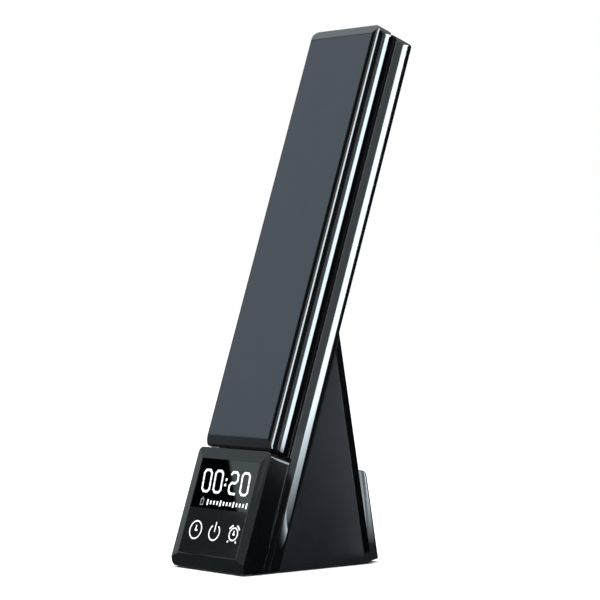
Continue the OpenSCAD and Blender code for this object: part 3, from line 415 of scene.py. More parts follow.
@dataclass(frozen=True)
class Opal:
    """Opal sheet that spreads light, with a fine prism grain."""

    name: str
    slot: str
    colour: Colour
    scatter: float = 0.3
    scatter_m: float = 0.002
    cell_scale: float = 1400.0
    cell_shade: float = 0.95
    roughness: Tuple[float, float] = (0.38, 0.5)
    relief_m: float = 0.00003

    def build(self) -> bpy.types.Material:
        """Returns the finish as a material."""
        maker = NodeMaker(self.name)
        where = maker.coordinates()
        shader = maker.node("ShaderNodeBsdfPrincipled", IOR=1.49)
        shader.inputs["Subsurface Weight"].default_value = self.scatter
        shader.inputs["Subsurface Radius"].default_value = (self.scatter_m,) * 3
        cells = maker.noise(where, self.cell_scale, 1.0)
        dark = scaled(self.colour, self.cell_shade)
        maker.link(maker.shades(cells, dark, self.colour), shader.inputs["Base Color"])
        maker.link(maker.between(cells, *self.roughness), shader.inputs["Roughness"])
        maker.link(maker.bump(cells, self.relief_m), shader.inputs["Normal"])
        return maker.finish(shader)


@dataclass(frozen=True)
class Lit:
    """A lit or printed white mark on the panel."""

    name: str
    slot: str
    colour: Colour
    glow: float
    roughness: float = 0.5
    dot_scale: float = 2200.0
    dot_shade: float = 0.93

    def build(self) -> bpy.types.Material:
        """Returns the finish as a material."""
        maker = NodeMaker(self.name)
        where = maker.coordinates()
        shader = maker.node("ShaderNodeBsdfPrincipled", Roughness=self.roughness, Emission_Strength=self.glow)
        dots = maker.noise(where, self.dot_scale, 1.0)
        for target in ("Base Color", "Emission Color"):
            shade = maker.shades(dots, scaled(self.colour, self.dot_shade), self.colour)
            maker.link(shade, shader.inputs[target])
        return maker.finish(shader)


Finish = Union[Moulding, Metal, Winding, Board, Opal, Lit]


class Finishes:
    """The lamp's finishes by name, each built once."""

    gloss_black = Moulding(
        "gloss black plastic", "gloss_black", (0.006, 0.0065, 0.0075), 0.05, Grain.POLISHED, coat=0.3
    )
    satin_slate = Moulding(
        "satin slate face", "satin_slate", (0.029, 0.0352, 0.0486), 0.42, Grain.SATIN, drift=0.05
    )
    box_black = Moulding(
        "satin black box", "satin_black", (0.004, 0.0047, 0.0055), 0.08, Grain.FINE, specular=0.4
    )
    # The leg's satin black is a lighter copy of the box's with little specular: painted sheen in place of the
    # light its side reflects.
    leg_black_painted_sheen = SatinAndPolish(
        "satin black leg with painted sheen", "satin_black", (0.018, 0.0205, 0.025), 0.16, Grain.FINE, specular=0.06
    )
    touch_panel = Moulding(
        "touch panel", "panel_black", (0.012, 0.0135, 0.015), 0.1, Grain.POLISHED, drift=0.08
    )
    window_black = Moulding(
        "display window", "panel_black", (0.001, 0.001, 0.0012), 0.02, Grain.POLISHED, specular=0.7
    )
    lit_white = Lit("lit white", "lit_white", (0.95, 0.97, 1.0), 0.6)
    dim_white = Lit("dim white", "lit_white", (0.3, 0.31, 0.33), 0.1)
    opal = Opal("opal sheet", "diffuser_white", (0.86, 0.87, 0.86))
    board_green = Board("circuit board", "circuit_green", (0.012, 0.075, 0.03), (0.05, 0.16, 0.07))
    screw_steel = Metal("zinc steel", "screw_steel", (0.62, 0.62, 0.64), 0.3)
    hinge_steel = Metal("blackened steel", "hinge_steel", (0.16, 0.165, 0.175), 0.34)
    contact_brass = Metal("brass", "contact_brass", (0.78, 0.58, 0.27), 0.28)
    aluminium = Metal("aluminium", "board_aluminium", (0.8, 0.8, 0.82), 0.35)
    ballast_steel = Metal("plain steel", "ballast_steel", (0.36, 0.36, 0.37), 0.45)
    copper = Winding("copper winding", "copper_winding", (0.72, 0.36, 0.18))
    ferrite = Moulding("ferrite", "ferrite_grey", (0.05, 0.05, 0.055), 0.6, Grain.RUBBER)
    rubber = Moulding("rubber", "rubber_black", (0.014, 0.014, 0.014), 0.7, Grain.RUBBER)
    phosphor = Moulding("led phosphor", "led_yellow", (0.8, 0.66, 0.2), 0.45, Grain.FINE)
    dark_plastic = Moulding("dark plastic", "dark_plastic", (0.014, 0.014, 0.015), 0.45, Grain.FINE)

    def __init__(self) -> None:
        """Starts with no finish built."""
        self._built: Dict[str, bpy.types.Material] = {}

    def material(self, finish: Finish) -> bpy.types.Material:
        """Returns a finish's material, building it at its first use.

        Args:
            finish: One of the finishes above.

        Returns:
            The shared material.
        """
        if finish.name not in self._built:
            self._built[finish.name] = finish.build()
        return self._built[finish.name]


FINISHES = Finishes()


def dress(
    node: str,
    finish: Finish,
    edge_mm: float = 0.0,
    merge: bool = True,
    least_deg: float = 24.0,
    clamp: bool = True,
) -> None:
    """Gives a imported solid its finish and, where asked, softened edges.

    Args:
        node: The solid's name.
        finish: The finish that it takes.
        edge_mm: Width of the soft edge, or 0 to leave the edges as they are.
        merge: Whether flat triangles are merged before the edges are softened.
        least_deg: Smallest fold that counts as an edge.
        clamp: Whether the shortest edge of the solid limits the soft edges.
    """
    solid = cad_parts[node]
    solid.data.materials.clear()
    solid.data.materials.append(FINISHES.material(finish))
    if edge_mm > 0.0:
        weld = solid.modifiers.new("weld", "WELD")
        weld.merge_threshold = WELD_M
        if merge:
            flat = solid.modifiers.new("flat faces", "DECIMATE")
            flat.decimate_type = "DISSOLVE"
            flat.angle_limit = math.radians(FLAT_DEG)
        edge = solid.modifiers.new("soft edge", "BEVEL")
        edge.width = edge_mm * MM
        edge.segments = EDGE_STEPS
        edge.limit_method = "ANGLE"
        edge.angle_limit = math.radians(least_deg)
        edge.use_clamp_overlap = clamp
        edge.miter_outer = "MITER_ARC"
        shading = solid.modifiers.new("shading", "WEIGHTED_NORMAL")
        shading.keep_sharp = False
        solid.data.polygons.foreach_set("use_smooth", [True] * len(solid.data.polygons))
    log.info("dressed %s as %s", node, finish.name)


class Film:
    """Thin flat marks on the front panel, drawn in slab coordinates as [x, s]."""

    dot_sides = 20
    arc_step_deg = 7.5
    arc_least_steps = 6
    mitre_least = 0.35
    corner_digits = 4

    def __init__(self) -> None:
        """Starts with no mark."""
        self._shapes: List[List[List[Point]]] = []

    def polygon(self, outline: Sequence[Point]) -> None:
        """Adds a filled convex outline."""
        self._shapes.append([list(outline)])

    def rectangle(self, low: Point, high: Point) -> None:
        """Adds a filled rectangle between two corners."""
        self.polygon([low, (high[0], low[1]), high, (low[0], high[1])])

    @staticmethod
    def _on_circle(centre: Point, radius: float, turn: float) -> Point:
        """Returns the point of a circle at an angle in radians."""
        return (centre[0] + radius * math.cos(turn), centre[1] + radius * math.sin(turn))

    def dot(self, centre: Point, radius: float) -> None:
        """Adds a filled round spot."""
        turns = [math.tau * i / self.dot_sides for i in range(self.dot_sides)]
        self.polygon([self._on_circle(centre, radius, turn) for turn in turns])

    def stroke(self, path: Sequence[Point], width: float, closed: bool = False) -> None:
        """Adds a line of even width with mitred corners.

        Args:
            path: The points of its middle line.
            width: Width of the line.
            closed: Whether the last point joins the first.
        """
        points = [Vector(p) for p in path]
        count = len(points)
        sides: List[Tuple[Vector, Vector]] = []
        for i, here in enumerate(points):
            steps = [here - points[i - 1]] if closed or i > 0 else []
            steps += [points[(i + 1) % count] - here] if closed or i < count - 1 else []
            ways = [step.normalized() for step in steps]
            mean = sum(ways, Vector((0.0, 0.0))).normalized()
            normal = Vector((-mean.y, mean.x))
            first = Vector((-ways[0].y, ways[0].x))
            reach = width / 2.0 / max(normal.dot(first), self.mitre_least)
            sides.append((here + normal * reach, here - normal * reach))
        quads: List[List[Point]] = []
        for i in range(count if closed else count - 1):
            a, b = sides[i], sides[(i + 1) % count]
            quads.append([tuple(a[0]), tuple(a[1]), tuple(b[1]), tuple(b[0])])
        self._shapes.append(quads)

    def arc(self, centre: Point, radius: float, start_deg: float, end_deg: float, width: float) -> None:
        """Adds part of a ring.

        Args:
            centre: Middle of the ring.
            radius: Radius of its middle line.
            start_deg: First angle, from the x axis.
            end_deg: Last angle; a full turn closes the ring.
            width: Width of the line.
        """
        sweep = end_deg - start_deg
        whole = abs(sweep) >= 360.0
        steps = max(int(abs(sweep) / self.arc_step_deg), self.arc_least_steps)
        turns = [math.radians(start_deg + sweep * i / steps) for i in range(steps if whole else steps + 1)]
        path = [self._on_circle(centre, radius, turn) for turn in turns]
        self.stroke(path, width, whole)

    def _extrude(
        self, mesh: bmesh.types.BMesh, shape: Sequence[Sequence[Point]], low_v: float, high_v: float
    ) -> None:
        """Adds one shape to a mesh as a closed film, with walls on its outer edges only.

        Args:
            mesh: The mesh to add to.
            shape: The shape's faces, which share their corners.
            low_v: Front plane of the film.
            high_v: Rear plane of the film.
        """
        corners: Dict[Point, Tuple[bmesh.types.BMVert, bmesh.types.BMVert]] = {}
        border: Dict[Tuple[Point, Point], None] = {}
        for outline in shape:
            keys = [(round(x, self.corner_digits), round(s, self.corner_digits)) for x, s in outline]
            for x, s in keys:
                if (x, s) not in corners:
                    corners[(x, s)] = (mesh.verts.new((x, low_v, s)), mesh.verts.new((x, high_v, s)))
            mesh.faces.new([corners[key][0] for key in keys])
            mesh.faces.new([corners[key][1] for key in reversed(keys)])
            for a, b in zip(keys, keys[1:] + keys[:1]):
                if (b, a) in border:
                    del border[(b, a)]
                else:
                    border[(a, b)] = None
        for a, b in border:
            mesh.faces.new((corners[b][0], corners[a][0], corners[a][1], corners[b][1]))

    def to_piece(self, name: str, finish: Finish, low_v: float, high_v: float) -> None:
        """Makes the marks into one thin piece that rides on the stand.

        Args:
            name: The piece's name.
            finish: Its finish.
            low_v: Front plane of the film.
            high_v: Rear plane of the film.
        """
        mesh = bmesh.new()
        for shape in self._shapes:
            self._extrude(mesh, shape, low_v, high_v)
        bmesh.ops.transform(mesh, matrix=SLAB.matrix(), verts=mesh.verts)
        bmesh.ops.recalc_face_normals(mesh, faces=mesh.faces)
        data = bpy.data.meshes.new(name)
        mesh.to_mesh(data)
        mesh.free()
        data.materials.append(FINISHES.material(finish))
        piece = bpy.data.objects.new(name, data)
        bpy.context.scene.collection.objects.link(piece)
        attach(piece, Body.STAND.value)
        log.info("built %s", name)


@dataclass
class LampHead:
    """The long head that folds down over the arm."""

    cover_edge: float = 0.14
    face_edge: float = 0.12
    rim_edge: float = 0.3

    def dress(self) -> None:
        """Gives the head's solids their finishes."""
        dress("head_cover", FINISHES.gloss_black, self.cover_edge, merge=False)
        dress("head_face_panel", FINISHES.satin_slate, self.face_edge)
        dress("head_rim", FINISHES.gloss_black, self.rim_edge)
        dress("light_diffuser", FINISHES.opal, self.face_edge)
        dress("reflector_sheet", FINISHES.opal)
        dress("led_board", FINISHES.aluminium)
        dress("led_chips", FINISHES.phosphor)
        dress("head_screws", FINISHES.screw_steel)


@dataclass
class Hinge:
    """The friction hinge across the arm's top."""

    edge: float = 0.12

    def dress(self) -> None:
        """Gives the hinge's solids their finishes."""
        dress("head_hinge_leaf", FINISHES.hinge_steel, self.edge)
        dress("hinge_bracket", FINISHES.hinge_steel, self.edge)
        dress("hinge_pin", FINISHES.screw_steel, self.edge)
        dress("hinge_nut", FINISHES.screw_steel, self.edge)
        dress("hinge_washers", FINISHES.contact_brass)
        dress("head_leaf_screws", FINISHES.screw_steel)
        dress("bracket_screws", FINISHES.screw_steel)


@dataclass
class Arm:
    """The leaning arm with the wireless charger inside."""

    shell_edge: float = 0.3

    def dress(self) -> None:
        """Gives the arm's solids their finishes."""
        dress("arm_front_shell", FINISHES.gloss_black, self.shell_edge)
        dress("arm_rear_shell", FINISHES.gloss_black, self.shell_edge)
        dress("arm_screws", FINISHES.screw_steel)
        dress("charging_coil", FINISHES.copper)
        dress("ferrite_plate", FINISHES.ferrite)
        dress("charger_board", FINISHES.board_green)
        dress("lamp_lead", FINISHES.rubber)


@dataclass
class ClockBox:
    """The clock box at the arm's foot, with its panel, lit digits and touch marks."""

    housing_edge: float = 0.25
    panel_edge: float = 0.35
    window_inset: float = 0.4
    panel_half: float = 24.8
    window_low: float = 34.8
    window_high: float = 62.4
    film: float = 0.03
    digit_w: float = 7.5
    digit_h: float = 13.2
    digit_slant: float = -0.12
    digit_pitch: float = 9.7
    digit_gap: float = 3.4
    digit_shift: float = 0.5
    digit_s: float = 50.0
    stroke: float = 1.28
    corner: float = 1.5
    colon_rise: float = 1.5
    colon_r: float = 0.79
    key_s: float = 22.4
    key_pitch: float = 16.2
    key_shift: float = 1.5
    icon_r: float = 4.9
    icon_line: float = 0.76
    film_gap: float = 0.004
    layer_gap: float = 0.002
    zero_part: float = 0.16
    two_start: Point = (0.2, 0.1)
    two_end: float = 0.4
    bar_count: int = 13
    bar_x: float = -10.6
    bar_s: float = 38.2
    bar_pitch: float = 2.75
    bar_half: float = 0.6
    bar_rise: float = 1.05
    tall_rise: float = 1.6
    tall_every: int = 4
    mark_body: Tuple[Point, ...] = ((-16.5, 36.5), (-14.3, 36.5), (-14.3, 39.7), (-16.5, 39.7))
    mark_cap: Tuple[Point, Point] = ((-15.9, 40.2), (-14.9, 40.8))
    mark_line: float = 0.55
    hand_tail: float = 0.3
    short_hand: Point = (0.62, 0.1)
    hub_r: float = 0.7
    clock_hand: float = 2.7
    power_drop: float = 0.3
    power_inset: float = 0.6
    power_arc_deg: Tuple[float, float] = (125.0, 415.0)
    power_bar: float = 0.7
    alarm_r: float = 3.4
    alarm_hand: float = 1.9
    bell_deg: Tuple[float, ...] = (32.0, 108.0)
    bell_sweep_deg: float = 40.0
    bell_line: float = 0.9
    alarm_foot: Tuple[Point, Point] = ((2.9, 3.7), (3.7, 4.7))

    def dress(self) -> None:
        """Gives the clock box's solids their finishes."""
        dress("display_housing", FINISHES.box_black, self.housing_edge)
        dress("front_panel", FINISHES.touch_panel, self.panel_edge, clamp=False)
        dress("display_module", FINISHES.dark_plastic)
        dress("display_digits", FINISHES.lit_white)
        dress("touch_pads", FINISHES.contact_brass)
        for board in ("touch_board", "main_board"):
            dress(board, FINISHES.board_green)
        dress("alarm_buzzer", FINISHES.dark_plastic)
        for steel in ("board_screws", "backup_cell", "housing_screws"):
            dress(steel, FINISHES.screw_steel)

    def build(self) -> None:
        """Adds the window, the lit digits, the level bars and the touch marks."""
        window = Film()
        half = self.panel_half - self.window_inset
        window.rectangle((-half, self.window_low), (half, self.window_high))
        self._on_panel(window, "display_window", FINISHES.window_black)
        self._on_window(self._digits(), "lit_digits", FINISHES.lit_white)
        self._level_bars()
        self._clock_mark(self.key_shift - self.key_pitch)
        self._power_mark(self.key_shift)
        self._alarm_mark(self.key_shift + self.key_pitch)

    def _on_panel(self, film: Film, name: str, finish: Finish) -> None:
        """Makes marks into a film that lies on the panel."""
        film.to_piece(name, finish, -self.film, -self.film_gap)

    def _on_window(self, film: Film, name: str, finish: Finish) -> None:
        """Makes marks into a film that lies on the window."""
        film.to_piece(name, finish, -2.0 * self.film, -self.film - self.layer_gap)

    def _digits(self) -> Film:
        """Returns the lit clock digits and the colon."""
        film = Film()
        start = self.digit_shift - 1.5 * self.digit_pitch - self.digit_gap / 2.0
        places = [start, start + self.digit_pitch]
        places += [p + 2.0 * self.digit_pitch + self.digit_gap for p in places]
        for place, shape in zip(places, (self._zero, self._zero, self._two, self._zero)):
            shape(film, place)
        for side in (-1.0, 1.0):
            film.dot((self.digit_shift, self.digit_s + side * self.colon_rise), self.colon_r)
        return film

    def _slanted(self, x: float, path: Sequence[Point]) -> List[Point]:
        """Returns a digit's points on the panel, slanted as the display's segments are.

        Args:
            x: Middle of the digit.
            path: Points about the digit's middle.

        Returns:
            The points as [x, s].
        """
        return [(x + px + self.digit_slant * py, self.digit_s + py) for px, py in path]

    def _zero(self, film: Film, x: float) -> None:
        """Adds a nought with cut corners, parted at its middle.

        Args:
            film: The film to draw on.
            x: Middle of the digit.
        """
        w, h, c = (self.digit_w - self.stroke) / 2.0, (self.digit_h - self.stroke) / 2.0, self.corner
        for side in (-1.0, 1.0):
            path = [(-w, side * self.zero_part), (-w, side * (h - c)), (-w + c, side * h), (w - c, side * h),
                    (w, side * (h - c)), (w, side * self.zero_part)]
            film.stroke(self._slanted(x, path), self.stroke)

    def _two(self, film: Film, x: float) -> None:
        """Adds a two with cut corners.

        Args:
            film: The film to draw on.
            x: Middle of the digit.
        """
        w, h, c = (self.digit_w - self.stroke) / 2.0, (self.digit_h - self.stroke) / 2.0, self.corner
        in_x, down = self.two_start
        path = [(-w + in_x, h - c - down), (-w + c, h), (w - c, h), (w, h - c), (w, c), (w - c, 0.0),
                (-w + c, 0.0), (-w, -c), (-w, -h + c), (-w + c, -h), (w - self.two_end, -h)]
        film.stroke(self._slanted(x, path), self.stroke)

    def _level_bars(self) -> None:
        """Adds a plain row of level bars under the digits."""
        bright, dim = Film(), Film()
        for i in range(self.bar_count):
            x = self.bar_x + i * self.bar_pitch
            rise = self.tall_rise if i % self.tall_every == 0 else self.bar_rise
            bright.rectangle((x - self.bar_half, self.bar_s - rise), (x + self.bar_half, self.bar_s + rise))
        dim.stroke(self.mark_body, self.mark_line, True)
        dim.rectangle(*self.mark_cap)
        self._on_window(bright, "level_bars", FINISHES.lit_white)
        self._on_window(dim, "level_mark", FINISHES.dim_white)

    def _hands(self, film: Film, x: float, size: float) -> None:
        """Adds two clock hands.

        Args:
            film: The film to draw on.
            x: Middle of the dial.
            size: Length of the long hand.
        """
        over, down = self.short_hand
        film.stroke([(x, self.key_s - self.hand_tail), (x, self.key_s + size)], self.icon_line)
        film.stroke([(x, self.key_s), (x + size * over, self.key_s - size * down)], self.icon_line)
        film.dot((x, self.key_s), self.hub_r)

    def _clock_mark(self, x: float) -> None:
        """Adds the clock key's mark at x."""
        film = Film()
        film.arc((x, self.key_s), self.icon_r, 0.0, 360.0, self.icon_line)
        self._hands(film, x, self.clock_hand)
        self._on_panel(film, "touch_mark_clock", FINISHES.lit_white)

    def _power_mark(self, x: float) -> None:
        """Adds the power key's mark at x."""
        film = Film()
        centre = (x, self.key_s - self.power_drop)
        film.arc(centre, self.icon_r - self.power_inset, *self.power_arc_deg, self.icon_line)
        film.stroke([(x, self.key_s), (x, self.key_s + self.icon_r + self.power_bar)], self.icon_line)
        self._on_panel(film, "touch_mark_power", FINISHES.lit_white)

    def _alarm_mark(self, x: float) -> None:
        """Adds the alarm key's mark at x."""
        film = Film()
        film.arc((x, self.key_s), self.alarm_r, 0.0, 360.0, self.icon_line)
        self._hands(film, x, self.alarm_hand)
        for start in self.bell_deg:
            film.arc((x, self.key_s), self.icon_r, start, start + self.bell_sweep_deg, self.bell_line)
        for side in (-1.0, 1.0):
            foot = [(x + side * over, self.key_s - down) for over, down in self.alarm_foot]
            film.stroke(foot, self.bell_line)
        self._on_panel(film, "touch_mark_alarm", FINISHES.lit_white)


@dataclass
class Leg:
    """The wedge leg behind the arm, with its base, weight and feet."""

    leg_edge: float = 0.35
    leg_fold_deg: float = 9.0
    plate_edge: float = 0.2

    def dress(self) -> None:
        """Gives the leg's solids their finishes."""
        # The leg's finish carries painted sheen: a lighter satin black than the box's.
        dress("stand_leg", FINISHES.leg_black_painted_sheen, self.leg_edge, least_deg=self.leg_fold_deg)
        dress("base_plate", FINISHES.dark_plastic, self.plate_edge)
        dress("rubber_feet", FINISHES.rubber, self.plate_edge)
        dress("ballast", FINISHES.ballast_steel, self.plate_edge)
        dress("leg_screws", FINISHES.screw_steel)
        dress("base_screws", FINISHES.screw_steel)


@dataclass
class PowerInlet:
    """The raised cover low on the leg's back, with the power socket."""

    cover_edge: float = 0.3

    def dress(self) -> None:
        """Gives the inlet's solids their finishes."""
        dress("rear_port_cover", FINISHES.gloss_black, self.cover_edge)
        dress("power_board", FINISHES.board_green)
        dress("power_socket", FINISHES.screw_steel)
        dress("power_lead", FINISHES.rubber)


@dataclass
class PhotoCamera:
    """The photograph's camera: a long lens at the height of the lamp's middle."""

    place: Place = (0.98379, -0.84523, 0.1524)
    azimuth_deg: float = 49.174
    pitch_deg: float = -0.294
    lens_mm: float = 140.46
    sensor_mm: float = 36.0
    clip_m: Tuple[float, float] = (0.01, 50.0)

    def build(self) -> bpy.types.Object:
        """Returns the camera, set as the scene's own."""
        data = bpy.data.cameras.new("photo camera")
        data.lens = self.lens_mm
        data.sensor_width = self.sensor_mm
        data.clip_start, data.clip_end = self.clip_m
        camera = bpy.data.objects.new("photo camera", data)
        camera.location = self.place
        camera.rotation_euler = (math.radians(90.0 + self.pitch_deg), 0.0, math.radians(self.azimuth_deg))
        bpy.context.scene.collection.objects.link(camera)
        bpy.context.scene.camera = camera
        return camera


@dataclass(frozen=True)
class SoftLight:
    """A soft rectangular light that reflections don't show, in metres and watts."""

    name: str
    place: Place
    aim: Place
    size: Tuple[float, float]
    watts: float

    def build(self) -> None:
        """Adds the light to the scene."""
        data = bpy.data.lights.new(self.name, "AREA")
        data.shape = "RECTANGLE"
        data.size, data.size_y = self.size
        data.energy = self.watts
        light = bpy.data.objects.new(self.name, data)
        light.location = self.place
        way = Vector(self.aim) - Vector(self.place)
        light.rotation_euler = way.to_track_quat("-Z", "Y").to_euler()
        light.visible_camera = False
        light.visible_glossy = False
        bpy.context.scene.collection.objects.link(light)


@dataclass(frozen=True)
class LeaningCard:
    """A card beside the lamp whose upright edges lean as the lamp does.

    Its directions run from the x axis towards the back, and its edges are measured along the slab.
    """

    name: str
    sweep_deg: Tuple[float, float]
    away: float
    rise: Tuple[float, float]
    level: float

    def corners(self) -> List[Vector]:
        """Returns the card's corners in order."""
        foot, up = SLAB.point(0.0, 0.0, 0.0), SLAB.up()
        turns = [math.radians(turn) for turn in self.sweep_deg]
        first, last = [foot + Vector((math.cos(a), math.sin(a), 0.0)) * self.away for a in turns]
        low, high = self.rise
        return [first + up * low, last + up * low, last + up * high, first + up * high]


@dataclass(frozen=True)
class UprightCard:
    """An upright card beside the lamp, from one foot to the other."""

    name: str
    start: Point
    end: Point
    rise: Tuple[float, float]
    level: float

    def corners(self) -> List[Vector]:
        """Returns the card's corners in order."""
        low, high = self.rise
        feet = ((self.start, low), (self.end, low), (self.end, high), (self.start, high))
        return [Vector((*foot, z)) for foot, z in feet]


@dataclass(frozen=True)
class FloorCard:
    """A card flat on the floor that brightens outwards to its level."""

    name: str
    outline: Tuple[Point, ...]
    level: float
    height: float = 0.001

    def corners(self) -> List[Vector]:
        """Returns the card's corners in order."""
        return [Vector((x, y, self.height)) for x, y in self.outline]


def square(half: float) -> Tuple[Point, ...]:
    """Returns the corners of a square about the lamp's foot."""
    return ((-half, -half), (half, -half), (half, half), (-half, half))


@dataclass
class Studio:
    """A pale floor, soft lights and cards that shape the reflections."""

    floor_m: float = 12.0
    floor_grey: float = 0.86
    floor_glow: float = 0.75
    # Outlines where the floor's glow is cut off as a painted shadow under the lamp: half width, front and
    # back, in metres.
    feet: Tuple[Place, ...] = ((0.031, -0.0619, 0.0324), (0.028, 0.02, 0.0396))
    shadow_fade: Tuple[float, float] = (-0.0005, 0.001)
    ambient: float = 0.42
    ambient_blue: float = 1.03
    tint: Colour = (0.87, 1.0, 1.08)
    dark_m: float = 0.12
    pale_m: float = 0.85
    dark_level: float = 0.17
    flag_m: float = 0.5
    flag_outline: Tuple[Point, ...] = (
        (-60.0, -60.0), (34.0, -60.0), (34.0, 34.8), (16.5, 34.8), (-1.45, 62.6), (-2.0, 66.0), (-60.0, 66.0)
    )
    band_deg: float = 42.0
    band_x: float = 0.031
    band_y: Tuple[float, float] = (-0.022, 0.03)
    band_reach: Tuple[float, float] = (0.04, 0.9)
    band_height: float = 0.0012
    band_power: float = 4.0
    band_level: float = 8.0
    lights: Tuple[SoftLight, ...] = (
        SoftLight("key light", (0.95, -1.0, 0.95), (0.0, 0.0, 0.17), (0.4, 0.4), 6.5),
        SoftLight("top light", (-0.5, -0.3, 1.5), (0.0, 0.0, 0.1), (0.9, 0.9), 12.0),
    )
    apron: FloorCard = FloorCard("apron", square(1.1), 1.0, 0.0005)
    side_cards: Tuple[LeaningCard, ...] = (
        LeaningCard("bevel card", (-62.0, -32.0), 2.0, (0.5, 1.9), 0.0),
        LeaningCard("edge strip", (-10.0, 9.0), 1.25, (-0.05, 0.9), STRIP_LEVEL),
        LeaningCard("side card", (10.0, 38.0), 1.2, (-0.05, 1.4), 0.03),
        LeaningCard("pale side card", (38.0, 44.6), 1.2, (-0.05, 1.4), 0.75),
        LeaningCard("rear strip", (44.8, 62.5), 1.25, (-0.05, 0.5), STRIP_LEVEL),
    )
    floor_cards: Tuple[FloorCard, ...] = (
        FloorCard("floor strip", ((0.1, 0.093), (0.9, 0.837), (0.606, 1.1), (0.086, 0.1)), STRIP_LEVEL),
        FloorCard("dark floor", ((0.086, 0.1), (1.4, 2.6), (-2.6, 2.6), (-0.3, 0.1)), 0.0),
        FloorCard("dark side floor", ((0.03, -0.2), (1.2, -0.2), (1.2, 0.9), (0.03, 0.0225)), 0.0),
    )
    far_cards: Tuple[Union[LeaningCard, UprightCard], ...] = (
        LeaningCard("rear card", (62.5, 130.0), 3.0, (-0.05, 2.5), 0.0),
        UprightCard("left card", (-2.0, -2.4), (-2.0, 2.0), (0.0, 3.2), 0.9),
        UprightCard("front card", (-1.6, -2.0), (0.2, -2.0), (0.0, 2.6), 0.6),
        UprightCard("panel edge card", (-0.45, -1.99), (0.2, -1.99), (0.75, 1.15), 9.0),
    )

    def build(self, eye: Vector) -> None:
        """Sets up the floor, the sky, the lights and the cards.

        Args:
            eye: Place of the photo's camera, for the card that the front panel mirrors.
        """
        bpy.context.scene.view_settings.view_transform = "Standard"
        self._sky()
        self._floor()
        for light in self.lights:
            light.build()
        self._floor_card(self.apron)
        self._window_flag(eye)
        for card in self.side_cards:
            self._plain_card(card.name, card.corners(), card.level)
        for card in self.floor_cards:
            self._floor_card(card)
        self._leg_floor()
        for card in self.far_cards:
            self._plain_card(card.name, card.corners(), card.level)

    def _background(
        self, tree: bpy.types.NodeTree, plain: bpy.types.NodeSocket, pale: bpy.types.NodeSocket
    ) -> bpy.types.NodeSocket:
        """Shows the pale background to the camera and in reflections, and the plain one to other light.

        Args:
            tree: The node tree to work in.
            plain: Shader for other light.
            pale: Shader for the background.

        Returns:
            The mixed shader's socket.
        """
        path = tree.nodes.new("ShaderNodeLightPath")
        total = path.outputs["Is Camera Ray"]
        for ray in ("Is Glossy Ray", "Is Transmission Ray"):
            either = tree.nodes.new("ShaderNodeMath")
            either.operation = "MAXIMUM"
            tree.links.new(total, either.inputs[0])
            tree.links.new(path.outputs[ray], either.inputs[1])
            total = either.outputs[0]
        mix = tree.nodes.new("ShaderNodeMixShader")
        tree.links.new(total, mix.inputs[0])
        tree.links.new(plain, mix.inputs[1])
        tree.links.new(pale, mix.inputs[2])
        return mix.outputs[0]

    def _sky(self) -> None:
        """Sets the world: white behind the lamp, a plain grey for its light."""
        world = bpy.data.worlds.new("studio")
        world.use_nodes = True
        tree = world.node_tree
        tree.nodes.clear()
        grey = tree.nodes.new("ShaderNodeBackground")
        blue = self.ambient * self.ambient_blue
        grey.inputs["Color"].default_value = (self.ambient, self.ambient, blue, 1.0)
        white = tree.nodes.new("ShaderNodeBackground")
        white.inputs["Color"].default_value = (1.0, 1.0, 1.0, 1.0)
        out = tree.nodes.new("ShaderNodeOutputWorld")
        tree.links.new(self._background(tree, grey.outputs[0], white.outputs[0]), out.inputs["Surface"])
        bpy.context.scene.world = world

    def _sheet(self, name: str, corners: Sequence[Vector], material: bpy.types.Material) -> bpy.types.Object:
        """Makes a flat stage sheet.

        Args:
            name: The sheet's name.
            corners: Its corners in order.
            material: Its material.

        Returns:
            The sheet.
        """
        data = bpy.data.meshes.new(name)
        data.from_pydata([tuple(c) for c in corners], [], [tuple(range(len(corners)))])
        data.materials.append(material)
        sheet = bpy.data.objects.new(name, data)
        bpy.context.scene.collection.objects.link(sheet)
        return sheet

    def _card(self, name: str, corners: Sequence[Vector], material: bpy.types.Material) -> None:
        """Makes a stage sheet that shows in reflections only.

        Args:
            name: The card's name.
            corners: Its corners in order.
            material: Its material.
        """
        card = self._sheet(name, corners, material)
        for ray in ("camera", "diffuse", "transmission", "shadow", "volume_scatter"):
            setattr(card, "visible_" + ray, False)

    def _plain_card(self, name: str, corners: Sequence[Vector], level: float) -> None:
        """Makes a card of one grey level.

        Args:
            name: The card's name.
            corners: Its corners in order.
            level: Its brightness: 0 for black, 1 for white, more for a lit strip.
        """
        maker = NodeMaker(name)
        glow = maker.node("ShaderNodeEmission", Color=(*self.tint, 1.0), Strength=level)
        self._card(name, corners, maker.finish(glow))

    def _floor_card(self, card: FloorCard) -> None:
        """Lays a card on the floor, dark at the lamp's foot and brighter outwards.

        Args:
            card: The card's outline and level.
        """
        maker = NodeMaker(card.name)
        reach = maker.node("ShaderNodeVectorMath", operation="LENGTH")
        maker.link(maker.node("ShaderNodeTexCoord").outputs["Object"], reach.inputs[0])
        fade = maker.node("ShaderNodeMapRange", From_Min=self.dark_m, From_Max=self.pale_m)
        fade.inputs["To Min"].default_value = min(card.level, self.dark_level)
        fade.inputs["To Max"].default_value = card.level
        maker.link(reach.outputs["Value"], fade.inputs["Value"])
        glow = maker.node("ShaderNodeEmission", Color=(*self.tint, 1.0))
        maker.link(fade.outputs["Result"], glow.inputs["Strength"])
        self._card(card.name, card.corners(), maker.finish(glow))

